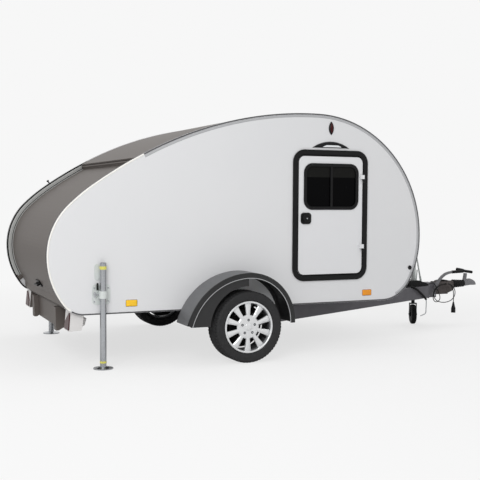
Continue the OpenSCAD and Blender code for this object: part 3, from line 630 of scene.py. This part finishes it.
def bead_section(start_depth, end_depth, height, steps=6):
    """Half round on the wall's face, from one depth under the edge to another."""
    return [
        (
            start_depth + (end_depth - start_depth) * k / steps,
            wall_face_y + height * math.sin(math.pi * k / steps),
        )
        for k in range(steps + 1)
    ]


# %% [markdown]
# ## Edge beads and the hatch seal
# A thin dark bead closes the wall's edge, with a wider light trim beside it. On the tail a white bead
# takes their place. The hatch closes on a foamed seal, which is matt black and fills the gap between the
# wall and the rail.

# %% Edge beads and seal
edge_bead = bead_section(0.0008, 0.011, 0.006)
piece("edge_bead", *both_sides(edge_bead, not_tail), trim_dark, "trailer", "rubber")
edge_trim = bead_section(0.012, 0.034, 0.004)
piece("edge_trim", *both_sides(edge_trim, is_front), trim_light, "trailer", "aluminium_rail")
tail_bead = bead_section(0.0008, 0.015, 0.005)
piece("tail_bead", *both_sides(tail_bead, is_tail), white_bead, "trailer", "wall_panel")
seal_inner, seal_outer = wall_inner_y - 0.013, wall_face_y - 0.0005
tail_seal = [
    (0.0006, seal_outer), (0.0006, seal_inner + 0.004), (0.006, seal_inner), (0.011, seal_inner + 0.003),
    (0.012, wall_inner_y + 0.004), (0.004, wall_inner_y + 0.010), (0.003, seal_outer),
]
piece("hatch_seal", *both_sides(tail_seal, is_tail), seal_rubber, "trailer", "rubber")
print("seal from", round(seal_inner, 3), "to", round(seal_outer, 4), "m")

# %% [markdown]
# ## Grooves in the hatch rails
# Inside each wall an extruded rail guides the hatch. Its section has a dark rubber groove and a raised
# bright rib. They are thin strips that lie just proud of the rail's face, on the tail only.

# %% Hatch rail details
rail_bottom_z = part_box("hatch_rails")[0][2]
rail_face_y = wall_inner_y - 0.010
buried = rail_face_y + 0.001


def is_rail(p):
    return p.x < hinge_x - overlap and p.y > rail_bottom_z + bottom_band


groove = [(0.040, buried), (0.040, rail_face_y - 0.0012), (0.046, rail_face_y - 0.0012), (0.046, buried)]
piece("rail_groove", *both_sides(groove, is_rail), rubber, "trailer", "rubber")
rib = [(0.022, buried), (0.023, rail_face_y - 0.003), (0.032, rail_face_y - 0.003), (0.033, buried)]
piece("rail_rib", *both_sides(rib, is_rail), anodised, "trailer", "aluminium_rail")
print(len(stations(is_rail)), "stations along the rail")

# %% [markdown]
# ## Tyres
# A tyre is a section turned about the axle. The tread needs more: four grooves run round it, and cross
# cuts part the shoulders into blocks. Both are made by lowering points of one grid, so the tyre stays a
# single closed skin.

# %% Tyre mesh
def tyre_mesh(node, rim_node):
    low, high = (Vector(v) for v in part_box(node))
    centre = (low + high) / 2
    radius = (high.z - low.z) / 2
    half = (high.y - low.y) / 2
    seat = (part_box(rim_node)[1][2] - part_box(rim_node)[0][2]) / 2
    wall_profile = [
        (seat - 0.004, 0.80), (seat + 0.002, 0.82), (seat + 0.008, 0.90), (seat + 0.012, 0.925),
        (seat + 0.014, 0.94), (seat + 0.017, 0.94), (seat + 0.019, 0.945), (seat + 0.026, 0.97),
        (seat + 0.040, 0.995), (radius - 0.024, 0.992), (radius - 0.022, 1.0), (radius - 0.017, 1.0),
        (radius - 0.014, 0.985), (radius - 0.007, 0.945), (radius - 0.002, 0.87),
    ]
    grooves = (-0.46, -0.16, 0.16, 0.46)
    groove_half = 0.045
    groove_depth, block_depth = 0.007, 0.005
    tread = []
    for k in range(41):
        across = 0.80 - 1.60 * k / 40
        cut = any(abs(across - g) < groove_half for g in grooves)
        tread.append((radius - (groove_depth if cut else 0.0006 * abs(across)), across))
    profile = wall_profile + tread + [(r, -y) for r, y in reversed(wall_profile)]
    steps = 320
    cut_every = 5
    rings = []
    for i in range(steps):
        angle = 2 * math.pi * i / steps
        ring = []
        for r, y in profile:
            shoulder = 0.50 < abs(y) < 0.95 and r > radius - 0.016
            block_cut = shoulder and (i + (2 if y > 0 else 0)) % cut_every == 0
            rr = r - (block_depth if block_cut else 0)
            ring.append(
                (centre.x + rr * math.cos(angle), centre.y + y * half, centre.z + rr * math.sin(angle))
            )
        rings.append(ring)
    return swept(rings, closed=True)


for side in sides:
    skin = tyre_mesh(f"tyre_{side}", f"rim_{side}")
    tyre = piece(f"tread_tyre_{side}", *skin, tyre_rubber, f"wheel_{side}", "tyre_rubber", 28)
    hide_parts(f"tyre_{side}")
print("tyres of", len(skin[0]), "points")

# %% [markdown]
# ## Alloy rims
# The rim is a casting with ten crowned spokes and a bright rounded lip in front of a barrel that is painted
# a darker grey as shade inside the wheel. Each spoke is a short loft of six stations that widens outwards,
# and its section rises in the middle, which gives each one its own highlight. Bolts in pits painted black
# as shade and a cap finish the middle. A black plate behind the spokes stands for the brake drum and the
# shade behind it; this painted shade closes the view through the wheel.

# %% Rim mesh
def turned(centre, profile, side, steps=96):
    """A closed profile of (radius, distance out from the wheel's middle), turned about the axle."""
    rings = []
    for i in range(steps):
        a = 2 * math.pi * i / steps
        rings.append([
            (centre.x + r * math.cos(a), centre.y + side * out, centre.z + r * math.sin(a))
            for r, out in profile
        ])
    return swept(rings, closed=True)


spokes = 10


def spoke(centre, side, angle, barrel_r):
    """One loft from the hub to the barrel, wider towards the barrel."""
    reach = barrel_r - 0.006
    loft = [
        (0.060, 0.0150, 0.064), (0.095, 0.0155, 0.066), (0.125, 0.0180, 0.0655), (0.150, 0.0210, 0.0645),
        (0.172, 0.0245, 0.063), (reach, 0.0300, 0.061),
    ]
    c, s = math.cos(angle), math.sin(angle)
    rings = []
    for r, half, out in loft:
        shape = [(-half, -0.022), (-half, -0.006), (-half * 0.72, -0.001), (-half * 0.2, 0.0015)]
        shape += [(-w, h) for w, h in reversed(shape)]
        rings.append([
            (centre.x + r * c - w * s, centre.y + side * (out + h), centre.z + r * s + w * c)
            for w, h in shape
        ])
    return swept(rings)


def rim_meshes(node, side):
    """The bright face, the barrel behind it in a darker grey of painted shade, and the point in the middle of
    the wheel.
    """
    low, high = (Vector(v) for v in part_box(node))
    outer = (high.z - low.z) / 2
    half = (high.y - low.y) / 2
    centre = (low + high) / 2
    lip = [
        (outer - 0.014, half - 0.022), (outer - 0.006, half - 0.012), (outer - 0.002, half - 0.008),
        (outer - 0.001, half - 0.004), (outer - 0.004, half - 0.001), (outer - 0.010, half),
        (outer - 0.015, half - 0.003), (outer - 0.018, half - 0.012),
    ]
    hub = [
        (0.026, 0.040), (0.090, 0.040), (0.094, 0.058), (0.086, 0.0655), (0.060, 0.0675), (0.026, 0.068),
    ]
    parts = [turned(centre, lip, side), turned(centre, hub, side)]
    parts += [spoke(centre, side, math.pi * (2 * k + 1) / spokes, outer - 0.010) for k in range(spokes)]
    barrel = [
        (outer - 0.020, -half), (outer - 0.006, -half), (outer - 0.007, half - 0.014),
        (outer - 0.012, half - 0.020), (outer - 0.022, half - 0.026), (outer - 0.020, half - 0.050),
    ]
    return joined(parts), turned(centre, barrel, side), centre


# %% Rims, bolts and caps
bolt_count, bolt_circle_r = 5, 0.055
for side, sign in sides.items():
    wheel = f"wheel_{side}"
    face, barrel, hub_centre = rim_meshes(f"rim_{side}", sign)
    rim = piece(f"alloy_rim_{side}", *face, alloy, wheel, "wheel_alloy", 30)
    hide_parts(f"rim_{side}")
    # The barrel wears a darker grey of painted shade.
    piece(f"rim_barrel_{side}", *barrel, shaded_barrel_alloy, wheel, "wheel_alloy", 30)
    # A near-black plate of painted shade behind the spokes, standing in for the brake drum and the shade
    # around it.
    shield = tube(out_from(hub_centre, sign, (-0.085, -0.083, -0.0815)), [0.160, 0.176, 0.168], 48)
    piece(f"drum_and_shade_plate_{side}", *shield, shadow_paint, wheel, "drum_iron")
    pits, bolts = [], []
    for k in range(bolt_count):
        a = 2 * math.pi * k / bolt_count + math.pi / 2
        at = hub_centre + Vector((bolt_circle_r * math.cos(a), 0, bolt_circle_r * math.sin(a)))
        head = out_from(at, sign, (0.060, 0.0690, 0.0700, 0.0705))
        bolts.append(tube(head, [0.0062, 0.0062, 0.0062, 0.005], 6))
        # Each bolt sits in a black disc of painted shade, for its pit.
        well = out_from(at, sign, (0.060, 0.0679, 0.0682))
        pits.append(tube(well, [0.0105, 0.0105, 0.0095], 20))
    piece(f"bolt_pits_{side}", *joined(pits), shadow_paint, wheel, "drum_iron")
    piece(f"wheel_bolts_{side}", *joined(bolts), zinc, wheel, "zinc_steel")
    cap_ends = out_from(hub_centre, sign, (0.060, 0.0700, 0.0725, 0.0735))
    cap = tube(cap_ends, [0.029, 0.029, 0.025, 0.016], 32)
    piece(f"centre_cap_{side}", *cap, alloy, wheel, "wheel_alloy")
    valve_at = hub_centre + Vector((0.150, 0, -0.090))
    valve = tube(
        out_from(valve_at, sign, (0.030, 0.052, 0.054, 0.066)), [0.005, 0.005, 0.004, 0.004], 10
    )
    piece(f"valve_{side}", *valve, rubber, wheel, "rubber")
print("rims of", len(face[0]), "points, with", bolt_count, "bolts")

# %% [markdown]
# ## Lamps
# Lamp lenses are domed shells of acrylic over a black base. A dome is made by shrinking the lamp's
# outline in a few steps while it rises, which keeps the outline sharp and the top soft.

# %% Lamp shapes
dome_share = 0.86


def domed(shape, base_out, rise, side, steps=5):
    """A shell whose outline is a list of (x, z), rising from base_out away from the centre line."""
    cx = sum(p[0] for p in shape) / len(shape)
    cz = sum(p[1] for p in shape) / len(shape)
    rings = [[(x, side * (base_out - 0.001), z) for x, z in shape]]
    for i in range(steps + 1):
        t = i / steps
        size = math.cos(t * math.pi / 2 * dome_share)
        out = base_out + rise * math.sin(t * math.pi / 2 * dome_share)
        rings.append([(cx + (x - cx) * size, side * out, cz + (z - cz) * size) for x, z in shape])
    return swept(rings)


def rounded_outline(x, z, width, height, r, steps=5):
    low_x, high_x, low_z, high_z = x + r, x + width - r, z + r, z + height - r
    corners = [(high_x, high_z, 0), (low_x, high_z, 90), (low_x, low_z, 180), (high_x, low_z, 270)]
    shape = []
    for cx, cz, first in corners:
        for k in range(steps + 1):
            a = math.radians(first + 90 * k / steps)
            shape.append((cx + r * math.cos(a), cz + r * math.sin(a)))
    return shape


def arc_outline(cx, cz, r, first, last, steps=16):
    angles = [math.radians(first + (last - first) * k / steps) for k in range(steps + 1)]
    return [(cx + r * math.cos(a), cz + r * math.sin(a)) for a in angles]


# %% [markdown]
# ## Four kinds of side lamp
# High on each wall is a pointed lamp, the overlap of two circles, with a red lens. Above the door a
# crescent with a white lens lights the step. Low down there is an amber marker in front and a yellow one
# behind.

# %% Side lamps
lamp_x = 0.064
pointed_z, pointed_r, pointed_shift = 1.870, 0.082, 0.058
pointed = arc_outline(lamp_x - pointed_shift, pointed_z, pointed_r, -44, 44)[:-1]
pointed += arc_outline(lamp_x + pointed_shift, pointed_z, pointed_r, 136, 224)[:-1]
inner_pointed = [
    (lamp_x + (x - lamp_x) * 0.55, pointed_z + (z - pointed_z) * 0.78) for x, z in pointed
]
crescent_z, crescent_r = 1.702, 0.322
crescent = arc_outline(lamp_x - 0.001, crescent_z + 0.057 - crescent_r, crescent_r, 56.6, 123.4)
crescent_lens = rounded_outline(lamp_x - 0.085, crescent_z + 0.010, 0.178, 0.020, 0.005)
marker_places = {"front": (0.385, 0.456), "rear": (-1.709, 0.455)}
marker_width, marker_height, inset = 0.092, 0.052, 0.002
seat_y = wall_face_y + 0.0004
bases, clears, reds, ambers, yellows = [], [], [], [], []
for side in sides.values():
    bases.append(domed(pointed, seat_y, 0.013, side))
    reds.append(domed(inner_pointed, wall_face_y + 0.009, 0.007, side))
    bases.append(domed(crescent, seat_y, 0.018, side))
    clears.append(domed(crescent_lens, wall_face_y + 0.011, 0.008, side))
    for name, heap in (("front", ambers), ("rear", yellows)):
        x, z = marker_places[name]
        base = rounded_outline(x, z, marker_width, marker_height, 0.008)
        bases.append(domed(base, seat_y, 0.002, side))
        cover = rounded_outline(
            x + inset, z + inset, marker_width - 2 * inset, marker_height - 2 * inset, 0.007
        )
        heap.append(domed(cover, wall_face_y + 0.0015, 0.009, side))
lamp_bases = piece("lamp_bases", *joined(bases), black_plastic, "trailer", "black_plastic", 50)
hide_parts("side_lamps")
for name, heap, material in (
    ("red_lenses", reds, dark_red), ("awning_lenses", clears, clear_lens),
    ("amber_markers", ambers, amber), ("yellow_markers", yellows, yellow_lens),
):
    piece(name, *joined(heap), material, "trailer", "lamp_plastic", 50)
print(len(bases), "side lamps")

# %% [markdown]
# ## Fender beads
# The fender's dark lip is part of its finish. Where the lip meets the arch a fine pale bead is let in. The
# arch is two arcs that meet at the top, so a strip along them needs only two radii.

# %% Fender beads
def arch_line(count=28):
    """Points (x, z) on the outside of the arch: a tight arc in front, a wide one behind."""
    front_r, rear_r = 0.395, 0.535
    front_foot, rear_foot = 0.300, 0.316
    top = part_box("fender_right")[1][2]
    line = []
    for r, foot, way in ((front_r, front_foot, 1), (rear_r, rear_foot, -1)):
        z = top - r
        first = math.asin((foot - z) / r)
        steps = [first + (math.pi / 2 - first) * k / count for k in range(count + 1)]
        side_line = [(wheel_x + way * r * math.cos(a), z + r * math.sin(a)) for a in steps]
        line += side_line if way > 0 else side_line[::-1][1:]
    return line


def arch_band(line, depth_a, depth_b, out_a, out_b, side):
    """A strip that follows the arch, between two depths under it and two distances out."""
    rings = []
    last = len(line) - 1
    for i, (x, z) in enumerate(line):
        ahead, behind = line[min(i + 1, last)], line[max(i - 1, 0)]
        run = Vector((ahead[0] - behind[0], ahead[1] - behind[1])).normalized()
        inner = Vector((-run.y, run.x))
        ring = []
        for depth, out in ((depth_a, out_a), (depth_a, out_b), (depth_b, out_b), (depth_b, out_a)):
            ring.append((x + inner.x * depth, side * out, z + inner.y * depth))
        rings.append(ring)
    return swept(rings)


fender_out = -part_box("fender_right")[0][1]
arch = arch_line()
bead_depths = (0.0380, 0.0430)
bead_outs = (fender_out - 0.004, fender_out - 0.0008)
beads = [arch_band(arch, *bead_depths, *bead_outs, side) for side in sides.values()]
piece("fender_beads", *joined(beads), trim_light, "trailer", "fender_plastic")
print("fender bead of", len(arch), "stations")

# %% [markdown]
# ## Doors
# Between the leaf and its frame there is a soft rubber seal, a rounded rectangle a few millimetres wide.
# The round lock has a raised ring, a turning paddle and a metal cylinder in the middle. All of it rides on
# the door, so it swings with the leaf.

# %% Door seals and locks
def ring_of(outer, inner, out_a, out_b, side):
    """A flat frame between two outlines with the same number of points."""
    rings = []
    for (xa, za), (xb, zb) in zip(outer, inner):
        a_side, b_side = side * out_a, side * out_b
        rings.append([(xa, a_side, za), (xa, b_side, za), (xb, b_side, zb), (xb, a_side, zb)])
    return swept(rings, closed=True)


seal_width = 0.006
leaf_face = wall_face_y + 0.004
for side, sign in sides.items():
    low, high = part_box(f"door_leaf_{side}")
    x0, z0, height = low[0], low[2], high[2] - low[2]
    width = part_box(f"window_rim_{side}")[1][0] + 0.047 - x0
    outer = rounded_outline(x0, z0, width, height, 0.058)
    inner = rounded_outline(
        x0 + seal_width, z0 + seal_width, width - 2 * seal_width, height - 2 * seal_width, 0.052
    )
    seal = ring_of(outer, inner, leaf_face - 0.002, leaf_face + 0.0012, sign)
    piece(f"door_seal_{side}", *seal, rubber, f"door_{side}", "rubber")
    low, high = (Vector(v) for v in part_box(f"door_handle_{side}"))
    knob = (low + high) / 2
    knob_out = max(abs(low.y), abs(high.y))
    knob.y = 0
    rise = [
        (0.0305, -0.014), (0.034, -0.012), (0.034, -0.002), (0.031, 0.001), (0.027, 0.001),
        (0.025, -0.002),
    ]
    lock = [turned(knob, [(r, knob_out + out) for r, out in rise], sign, 40)]
    paddle = rounded_outline(knob.x - 0.021, knob.z - 0.007, 0.042, 0.014, 0.006)
    lock.append(domed(paddle, knob_out - 0.0005, 0.005, sign))
    piece(f"lock_ring_{side}", *joined(lock), black_plastic, f"door_{side}", "black_plastic")
    pin = tube(out_from(knob, sign, [knob_out + o for o in (0.003, 0.006, 0.0065)]), [0.006, 0.006, 0.004])
    piece(f"lock_cylinder_{side}", *pin, zinc, f"door_{side}", "zinc_steel")
print("door leaf", round(width, 3), "by", round(height, 3), "m")

# %% [markdown]
# ## Rear supports
# Each prop stand is a zinc-plated tube with a yellow band near its top, and the right one has a second band
# near its foot. On the clamp there are a black spring plunger, a wing screw and four bolts. The bands
# ride on the legs, and the rest on the body.

# %% Support details
def band(centre, radius, z0, z1):
    skin_r, top_r = radius + 0.0004, radius + 0.0016
    profile = [(skin_r, z0), (top_r, z0 + 0.001), (top_r, z1 - 0.001), (skin_r, z1)]
    rings = []
    for i in range(32):
        a = 2 * math.pi * i / 32
        rings.append([(centre.x + r * math.cos(a), centre.y + r * math.sin(a), z) for r, z in profile])
    return swept(rings, closed=True)


leg_radius = 0.024
clamp_parts, plungers = [], []
for side, sign in sides.items():
    low, high = (Vector(v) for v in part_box(f"stand_leg_{side}"))
    axis = (low + high) / 2
    bands = [band(axis, leg_radius, high.z - 0.050, high.z - 0.026)]
    if side == "right":
        bands.append(band(axis, leg_radius, low.z + 0.042, low.z + 0.058))
    piece(f"leg_bands_{side}", *joined(bands), yellow_band, f"rear_leg_{side}", "lamp_plastic")
    post = Vector((axis.x - 0.042, axis.y - sign * 0.004, 0))
    plunger = [post + Vector((0, 0, z)) for z in (0.592, 0.596, 0.640, 0.646)]
    plungers.append(tube(plunger, [0.006, 0.008, 0.008, 0.005], 14))
    screw = [Vector((axis.x - x, axis.y, 0.560)) for x in (0.032, 0.062)]
    clamp_parts.append(tube(screw, 0.006, 12))
    wing = [Vector((axis.x - 0.062, axis.y, z)) for z in (0.540, 0.560, 0.580)]
    clamp_parts.append(tube(wing, [0.005, 0.008, 0.005], 12))
    for x, z in ((-0.062, 0.505), (0.046, 0.505), (-0.062, 0.606), (0.046, 0.606)):
        at = Vector((axis.x + x, 0, z))
        head = out_from(at, sign, [wall_face_y + o for o in (0.0055, 0.010, 0.0105)])
        clamp_parts.append(tube(head, [0.006, 0.006, 0.004], 6))
piece("clamp_screws", *joined(clamp_parts), zinc, "trailer", "zinc_steel")
piece("clamp_plungers", *joined(plungers), black_plastic, "trailer", "black_plastic")
print(len(clamp_parts), "screws and bolts on the clamps")

# %% [markdown]
# ## Drawbar hardware
# Bolts hold the coupling bracket. On the right rail hangs the hooked crank that winds the supports: a bent
# steel rod with a black grip.

# %% Bolts on the bracket
bracket_low, bracket_high = (Vector(v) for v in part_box("coupling_bracket"))
plate_y = 0.072
bolts = []
for sign in sides.values():
    for x in (bracket_low.x + 0.045, bracket_high.x - 0.020):
        for z in (bracket_low.z + 0.022, bracket_high.z - 0.020):
            head = out_from(Vector((x, 0, z)), sign, [plate_y + o for o in (0.0003, 0.007, 0.008)])
            bolts.append(tube(head, [0.009, 0.009, 0.007], 6))
piece("bracket_bolts", *joined(bolts), zinc, "trailer", "zinc_steel")
print(len(bolts), "bracket bolts")

# %% Hooked crank on the right rail
grip_route = [
    (2165, -192, 431), (2215, -212, 405), (2273, -196, 368), (2325, -178, 330), (2365, -166, 294),
]
piece("crank_grip", *tube(smooth_line(in_row(grip_route), 0.01), 0.011, 14), rubber, "trailer", "rubber")
rod_route = [
    (2362, -167, 300), (2368, -166, 270), (2366, -166, 200), (2364, -166, 165), (2352, -166, 150),
    (2303, -166, 134),
]
rod = tube(smooth_line(in_row(rod_route), 0.008), 0.0045, 12)
piece("crank_rod", *rod, zinc, "trailer", "zinc_steel")
print("crank of", len(rod[0]), "points")

# %% [markdown]
# ## Lever and lifting handle
# The handbrake lever is a flat painted bar that ends in a soft black grip with moulded rings and a release
# button. The lifting handle is a smooth rubber-covered bar with a grey inlay. Flat bars are lofted
# along a path, with a height at each point.

# %% A loft for flat bars
def along(path, side_y, across, thick):
    """A flat bar in a plane of constant Y: its path in mm, and its half height at each point in m."""
    points = in_row([(x, 0, z) for x, z in path])
    last = len(points) - 1
    rings = []
    for i, (point, half) in enumerate(zip(points, across)):
        run = (points[min(i + 1, last)] - points[max(i - 1, 0)]).normalized()
        upward = Vector((-run.z, 0, run.x))
        corner = min(half, thick) * 0.4
        h, t = half - corner, thick - corner
        near_side = [(half, -t), (half, t), (h, thick), (-h, thick)]
        shape = near_side + [(-half, t), (-half, -t), (-h, -thick), (h, -thick)]
        rings.append([point + u * upward + Vector((0, side_y + v, 0)) for u, v in shape])
    return swept(rings)


# %% Handbrake lever
lever_y = -0.084
lever_path = [(2536, 404), (2556, 440), (2586, 479), (2616, 507), (2650, 529), (2692, 542), (2742, 549)]
lever_halves = [0.016, 0.016, 0.015, 0.0145, 0.0135, 0.0125, 0.0115]
lever_bar = along(lever_path, lever_y, lever_halves, 0.0102)
pivot = tube(in_row([(2536, y, 404) for y in (-72.5, -96, -97.5)]), [0.024, 0.024, 0.021], 28)
lever = piece("lever_arm", *joined([lever_bar, pivot]), head_paint, "trailer", "zinc_steel")
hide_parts("handbrake_lever")
grip_from, grip_to = in_row([(2734, -84, 548.2), (2872, -84, 552)])
count = 27
grip = [grip_from.lerp(grip_to, k / (count - 1)) for k in range(count)]
radii = [0.0160 if k % 3 else 0.0148 for k in range(count)]
piece("lever_grip", *tube(grip, radii, 20), rubber, "trailer", "rubber")
button = [grip_to, grip_to + Vector((0.003, 0, 0))]
piece("lever_button", *tube(button, [0.008, 0.006], 16), zinc, "trailer", "zinc_steel")
print("lever grip", round((grip_to - grip_from).length, 3), "m")

# %% Lifting handle
handle_path = [(2858, 567), (2890, 561), (2930, 552), (2968, 544), (3010, 538), (3042, 533), (3052, 531)]
handle = tube(smooth_line(in_row([(x, 0, z) for x, z in handle_path]), 0.012), 0.0145, 20)
handle = piece("lifting_handle", *handle, rubber, "trailer", "black_plastic")
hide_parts("coupling_handle")
inlay = along([(2862, 580), (2900, 574), (2944, 565)], 0, [0.003, 0.003, 0.002], 0.009)
piece("handle_inlay", *inlay, head_paint, "trailer", "coupling_cast")
print("handle of", len(handle.data.vertices), "points")

# %% [markdown]
# ## Coupling head
# A tow coupling's head is pressed from thick sheet: an arch that is open below, falls away to a nose, and
# holds a bowl for the ball. The arch is lofted with its thickness, and the bowl is turned, so the socket
# stays open from below at its true radius.

# %% Coupling head
ball_x, ball_z, ball_r = 3040, 420, 25.2
mouth_z = 404
bowl_sheet = 3
bowl_angles = (0.3, 0.6, 0.9, 1.2, 1.45)


def arch_section(x, half, low, top, sheet=4.0, steps=12):
    """Closed ring of an arch with its thickness, in mm: over the outside and back under the inside."""
    ring = []
    for grow, order in ((0.0, range(steps + 1)), (-sheet, range(steps, -1, -1))):
        for k in order:
            a = math.pi * k / steps
            bulge = abs(math.cos(a)) ** 0.6 * (1 if math.cos(a) > 0 else -1)
            rise = math.sin(a) ** 0.6 if math.sin(a) > 0 else 0.0
            ring.append((x, (half + grow) * bulge, low + (top + grow - low) * rise))
    return in_row(ring)


def bowl_wall(radius, angles):
    return [(radius * math.cos(a), ball_z + radius * math.sin(a)) for a in angles]


head_stations = [
    (2943, 29, 396, 450), (2984, 31, 400, 456), (3000, 39, 404, 466), (3022, 48, 404, 466),
    (3044, 48, 404, 458), (3064, 42, 404, 446), (3080, 31, 404, 432), (3090, 17, 404, 418),
]
shell = swept([arch_section(*station) for station in head_stations])
outer_r = ball_r + bowl_sheet
bowl_profile = [(ball_r, mouth_z), (ball_r, ball_z), *bowl_wall(ball_r, bowl_angles)]
bowl_profile += [*bowl_wall(outer_r, bowl_angles[::-1]), (outer_r, ball_z), (outer_r, mouth_z)]
bowl_rings = []
for i in range(48):
    a = 2 * math.pi * i / 48
    bowl_rings.append(in_row([(ball_x + r * math.cos(a), r * math.sin(a), z) for r, z in bowl_profile]))
post_path = [(2956, 440), (2960, 470), (2966, 500), (2968, 523)]
post = along(post_path, 0, [0.019, 0.017, 0.016, 0.016], 0.016)
head = joined([shell, swept(bowl_rings, closed=True), post])
head = piece("coupling_shell", *head, head_paint, "trailer", "coupling_cast")
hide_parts("coupling_head")
strap = along([(2598, 455), (2640, 461), (2700, 461), (2742, 455)], 0, [0.003, 0.005, 0.005, 0.003], 0.024)
piece("housing_strip", *strap, rubber, "trailer", "rubber")
print("socket radius", ball_r, "mm, open below at", mouth_z, "mm")

# %% [markdown]
# ## Catch stud and retainer caps
# A black rubber-headed stud on the left wall's edge stops the hatch, and each wall has a round cap where an
# open door is held. Both are short turned bars.

# %% Catch stud and caps
stud_at = Vector((-1.924, 0.885, 1.42))
near = min(range(len(outline)), key=lambda i: (outline[i] - Vector((stud_at.x, stud_at.z))).length)
foot = Vector((outline[near].x, stud_at.y, outline[near].y))
out_dir = Vector((-inward[near].x, 0, -inward[near].y))
stud_line = [foot + out_dir * d for d in (-0.002, 0.016, 0.018, 0.028, 0.030)]
stud = tube(stud_line, [0.006, 0.006, 0.011, 0.011, 0.008], 14)
piece("catch_stud", *stud, black_plastic, "trailer", "black_plastic")
cap_at = Vector((0.867, 0, 0.685))
caps = []
for sign in sides.values():
    ends = out_from(cap_at, sign, [wall_face_y + o for o in (0.0003, 0.006, 0.009)])
    caps.append(tube(ends, [0.018, 0.018, 0.012], 24))
piece("retainer_caps", *joined(caps), black_plastic, "trailer", "black_plastic")
print("stud at", tuple(round(v, 3) for v in foot))

# %% [markdown]
# ## Studio
# The trailer stands on a pale floor under a broad white sky. One large soft lamp behind the camera's left
# shoulder makes the tail lighter than the nose, and a second one hangs overhead. The background's colour
# is set apart for rays that go straight from the camera, so it stays pale without adding light to the
# object. Near the trailer the floor is part glow and part chalk, which leaves its shadow faint.

# %% Floor
backdrop = "#f7f7f7"
floor_half = 60.0
floor_mesh = bpy.data.meshes.new("floor")
corners = [(-1, -1), (1, -1), (1, 1), (-1, 1)]
floor_mesh.from_pydata([(x * floor_half, y * floor_half, cad_low[2]) for x, y in corners], [], [(0, 1, 2, 3)])
floor = bpy.data.objects.new("floor", floor_mesh)
bpy.context.scene.collection.objects.link(floor)
paper = bpy.data.materials.new("studio paper")
tree = empty_tree(paper)
chalk = add(tree, "ShaderNodeBsdfDiffuse", {"Color": "#f4f4f4"})
glow = add(tree, "ShaderNodeEmission", {"Color": backdrop, "Strength": 1.0})
place = add(tree, "ShaderNodeTexCoord").outputs["Object"]
far = add(tree, "ShaderNodeVectorMath", {"operation": "LENGTH"}, {0: place})
near_r, far_r, near_glow = 2.6, 6.0, 0.74
reach = {"From Min": near_r, "From Max": far_r, "To Min": near_glow}
fade = add(tree, "ShaderNodeMapRange", reach, {"Value": far.outputs["Value"]})
seen = add(tree, "ShaderNodeLightPath").outputs["Is Camera Ray"]
amount = combine(tree, "MULTIPLY", fade.outputs[0], seen)
mixed = add(tree, "ShaderNodeMixShader", {}, {0: amount, 1: chalk.outputs[0], 2: glow.outputs[0]})
add(tree, "ShaderNodeOutputMaterial", {}, {"Surface": mixed.outputs[0]})
floor_mesh.materials.append(paper)
print("floor at", round(cad_low[2], 3), "m")

# %% Sky and lamps
world = bpy.data.worlds.new("studio")
bpy.context.scene.world = world
tree = empty_tree(world)
rays = add(tree, "ShaderNodeLightPath")
pale = add(tree, "ShaderNodeBackground", {"Color": backdrop, "Strength": 1.0})
sky = add(tree, "ShaderNodeBackground", {"Color": "#ffffff", "Strength": 0.62})
glossy = combine(tree, "MAXIMUM", rays.outputs["Is Camera Ray"], rays.outputs["Is Glossy Ray"])
direct = combine(tree, "MAXIMUM", glossy, rays.outputs["Is Transmission Ray"])
shown = add(tree, "ShaderNodeMixShader", {}, {0: direct, 1: sky.outputs[0], 2: pale.outputs[0]})
add(tree, "ShaderNodeOutputWorld", {}, {"Surface": shown.outputs[0]})


def soft_lamp(name, at, aim, size, power):
    light = bpy.data.lights.new(name, "AREA")
    light.shape = "DISK"
    light.size = size
    light.energy = power
    lamp = bpy.data.objects.new(name, light)
    lamp.location = at
    lamp.rotation_euler = (Vector(aim) - Vector(at)).to_track_quat("-Z", "Y").to_euler()
    bpy.context.scene.collection.objects.link(lamp)


soft_lamp("key_lamp", (-5.5, -6.5, 4.8), (-0.4, 0, 0.9), 4.0, 275)
soft_lamp("top_lamp", (0.5, 0.5, 7.0), (0, 0, 0), 5.0, 90)
bpy.context.scene.view_settings.view_transform = "Standard"
print(len(bpy.data.lights), "lamps")
